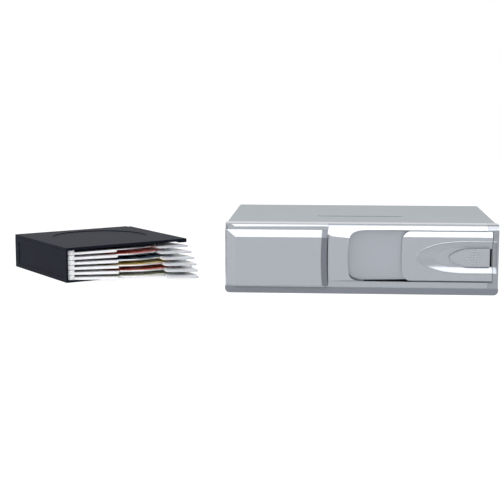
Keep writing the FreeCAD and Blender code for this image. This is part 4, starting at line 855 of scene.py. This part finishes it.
def seenRays(tree):
    # 1 for rays from the camera, from gloss and through glass, 0 for rays that light the object
    path = addNode(tree, "LightPath")
    seen = addNode(tree, "Math", {"operation": "MAXIMUM"},
                   {0: path.outputs["Is Camera Ray"], 1: path.outputs["Is Glossy Ray"]}).outputs[0]
    return addNode(tree, "Math", {"operation": "MAXIMUM"},
                   {0: seen, 1: path.outputs["Is Transmission Ray"]}).outputs[0]


def paleFloor():
    # matt white board; the part that is seen is lifted to white and keeps the shadow
    material, tree = newMaterial("mattWhiteBoard")[:2]
    matt = addNode(tree, "BsdfDiffuse", {"Color": hexColour(roomLook["floorWhite"])})
    glow = addNode(tree, "Emission", {"Color": (1, 1, 1, 1), "Strength": roomLook["glow"]})
    share = addNode(tree, "Math", {"operation": "MULTIPLY", 1: roomLook["share"]},
                    {0: seenRays(tree)}).outputs[0]
    mixed = addNode(tree, "MixShader", links={0: share, 1: matt.outputs[0], 2: glow.outputs[0]})
    endMaterial(tree, mixed)
    bpy.ops.object.select_all(action="DESELECT")
    bpy.ops.mesh.primitive_plane_add(size=roomLook["floor"], location=(0, 0, -roomLook["drop"]))
    floor = bpy.context.object
    floor.name = "floor"
    floor.data.materials.append(material)


def whiteWorld():
    # soft sky that lights the object, white where it is seen
    world = bpy.data.worlds.new("studio")
    bpy.context.scene.world = world
    world.use_nodes = True
    tree = world.node_tree
    tree.nodes.clear()
    soft = addNode(tree, "Background", {"Color": (1, 1, 1, 1), "Strength": roomLook["sky"]})
    white = addNode(tree, "Background", {"Color": (1, 1, 1, 1), "Strength": 1.0})
    mixed = addNode(tree, "MixShader",
                    links={0: seenRays(tree), 1: soft.outputs[0], 2: white.outputs[0]})
    addNode(tree, "OutputWorld", links={"Surface": mixed.outputs[0]})


lamps = {
    "top": {"spot": (0.0, -0.9, 1.03), "aim": (0.0, -0.08, 0.05), "wide": 1.2, "deep": 0.74,
            "power": 8.8},
    "bar": {"spot": (0.0, -0.28, 1.25), "aim": (0.0, -0.07, 0.05), "wide": 1.2, "deep": 0.5,
            "power": 5.6},
    "left": {"spot": (-1.3, -0.6, 0.5), "aim": (-0.1, 0.0, 0.03), "wide": 0.7, "deep": 0.7,
             "power": 7.0},
    "right": {"spot": (1.3, -0.3, 0.8), "aim": (0.1, 0.0, 0.03), "wide": 0.8, "deep": 0.8,
              "power": 2.0},
}
cameraPlace = {"spot": (-0.0252, -1.2356, 0.2036), "pitch": 8.04, "yaw": 3.95, "lens": 88.6,
               "sensor": 36.0}


def softLamp(name, setting):
    spot, aim = Vector(setting["spot"]), Vector(setting["aim"])
    turn = (aim - spot).to_track_quat("-Z", "Y").to_euler()
    bpy.ops.object.light_add(type="AREA", location=spot, rotation=turn)
    lamp = bpy.context.object
    lamp.name = name + "Lamp"
    lamp.data.shape = "RECTANGLE"
    lamp.data.size, lamp.data.size_y = setting["wide"], setting["deep"]
    lamp.data.energy = setting["power"]


def frontCamera():
    place = cameraPlace
    turn = (math.radians(90 - place["pitch"]), 0.0, math.radians(place["yaw"]))
    bpy.ops.object.camera_add(location=place["spot"], rotation=turn)
    camera = bpy.context.object
    camera.data.sensor_width = place["sensor"]
    camera.data.lens = place["lens"]
    bpy.context.scene.camera = camera


paleFloor()
whiteWorld()
for name, setting in lamps.items():
    softLamp(name, setting)
frontCamera()
bpy.context.scene.view_settings.view_transform = "Standard"
print("room lit")
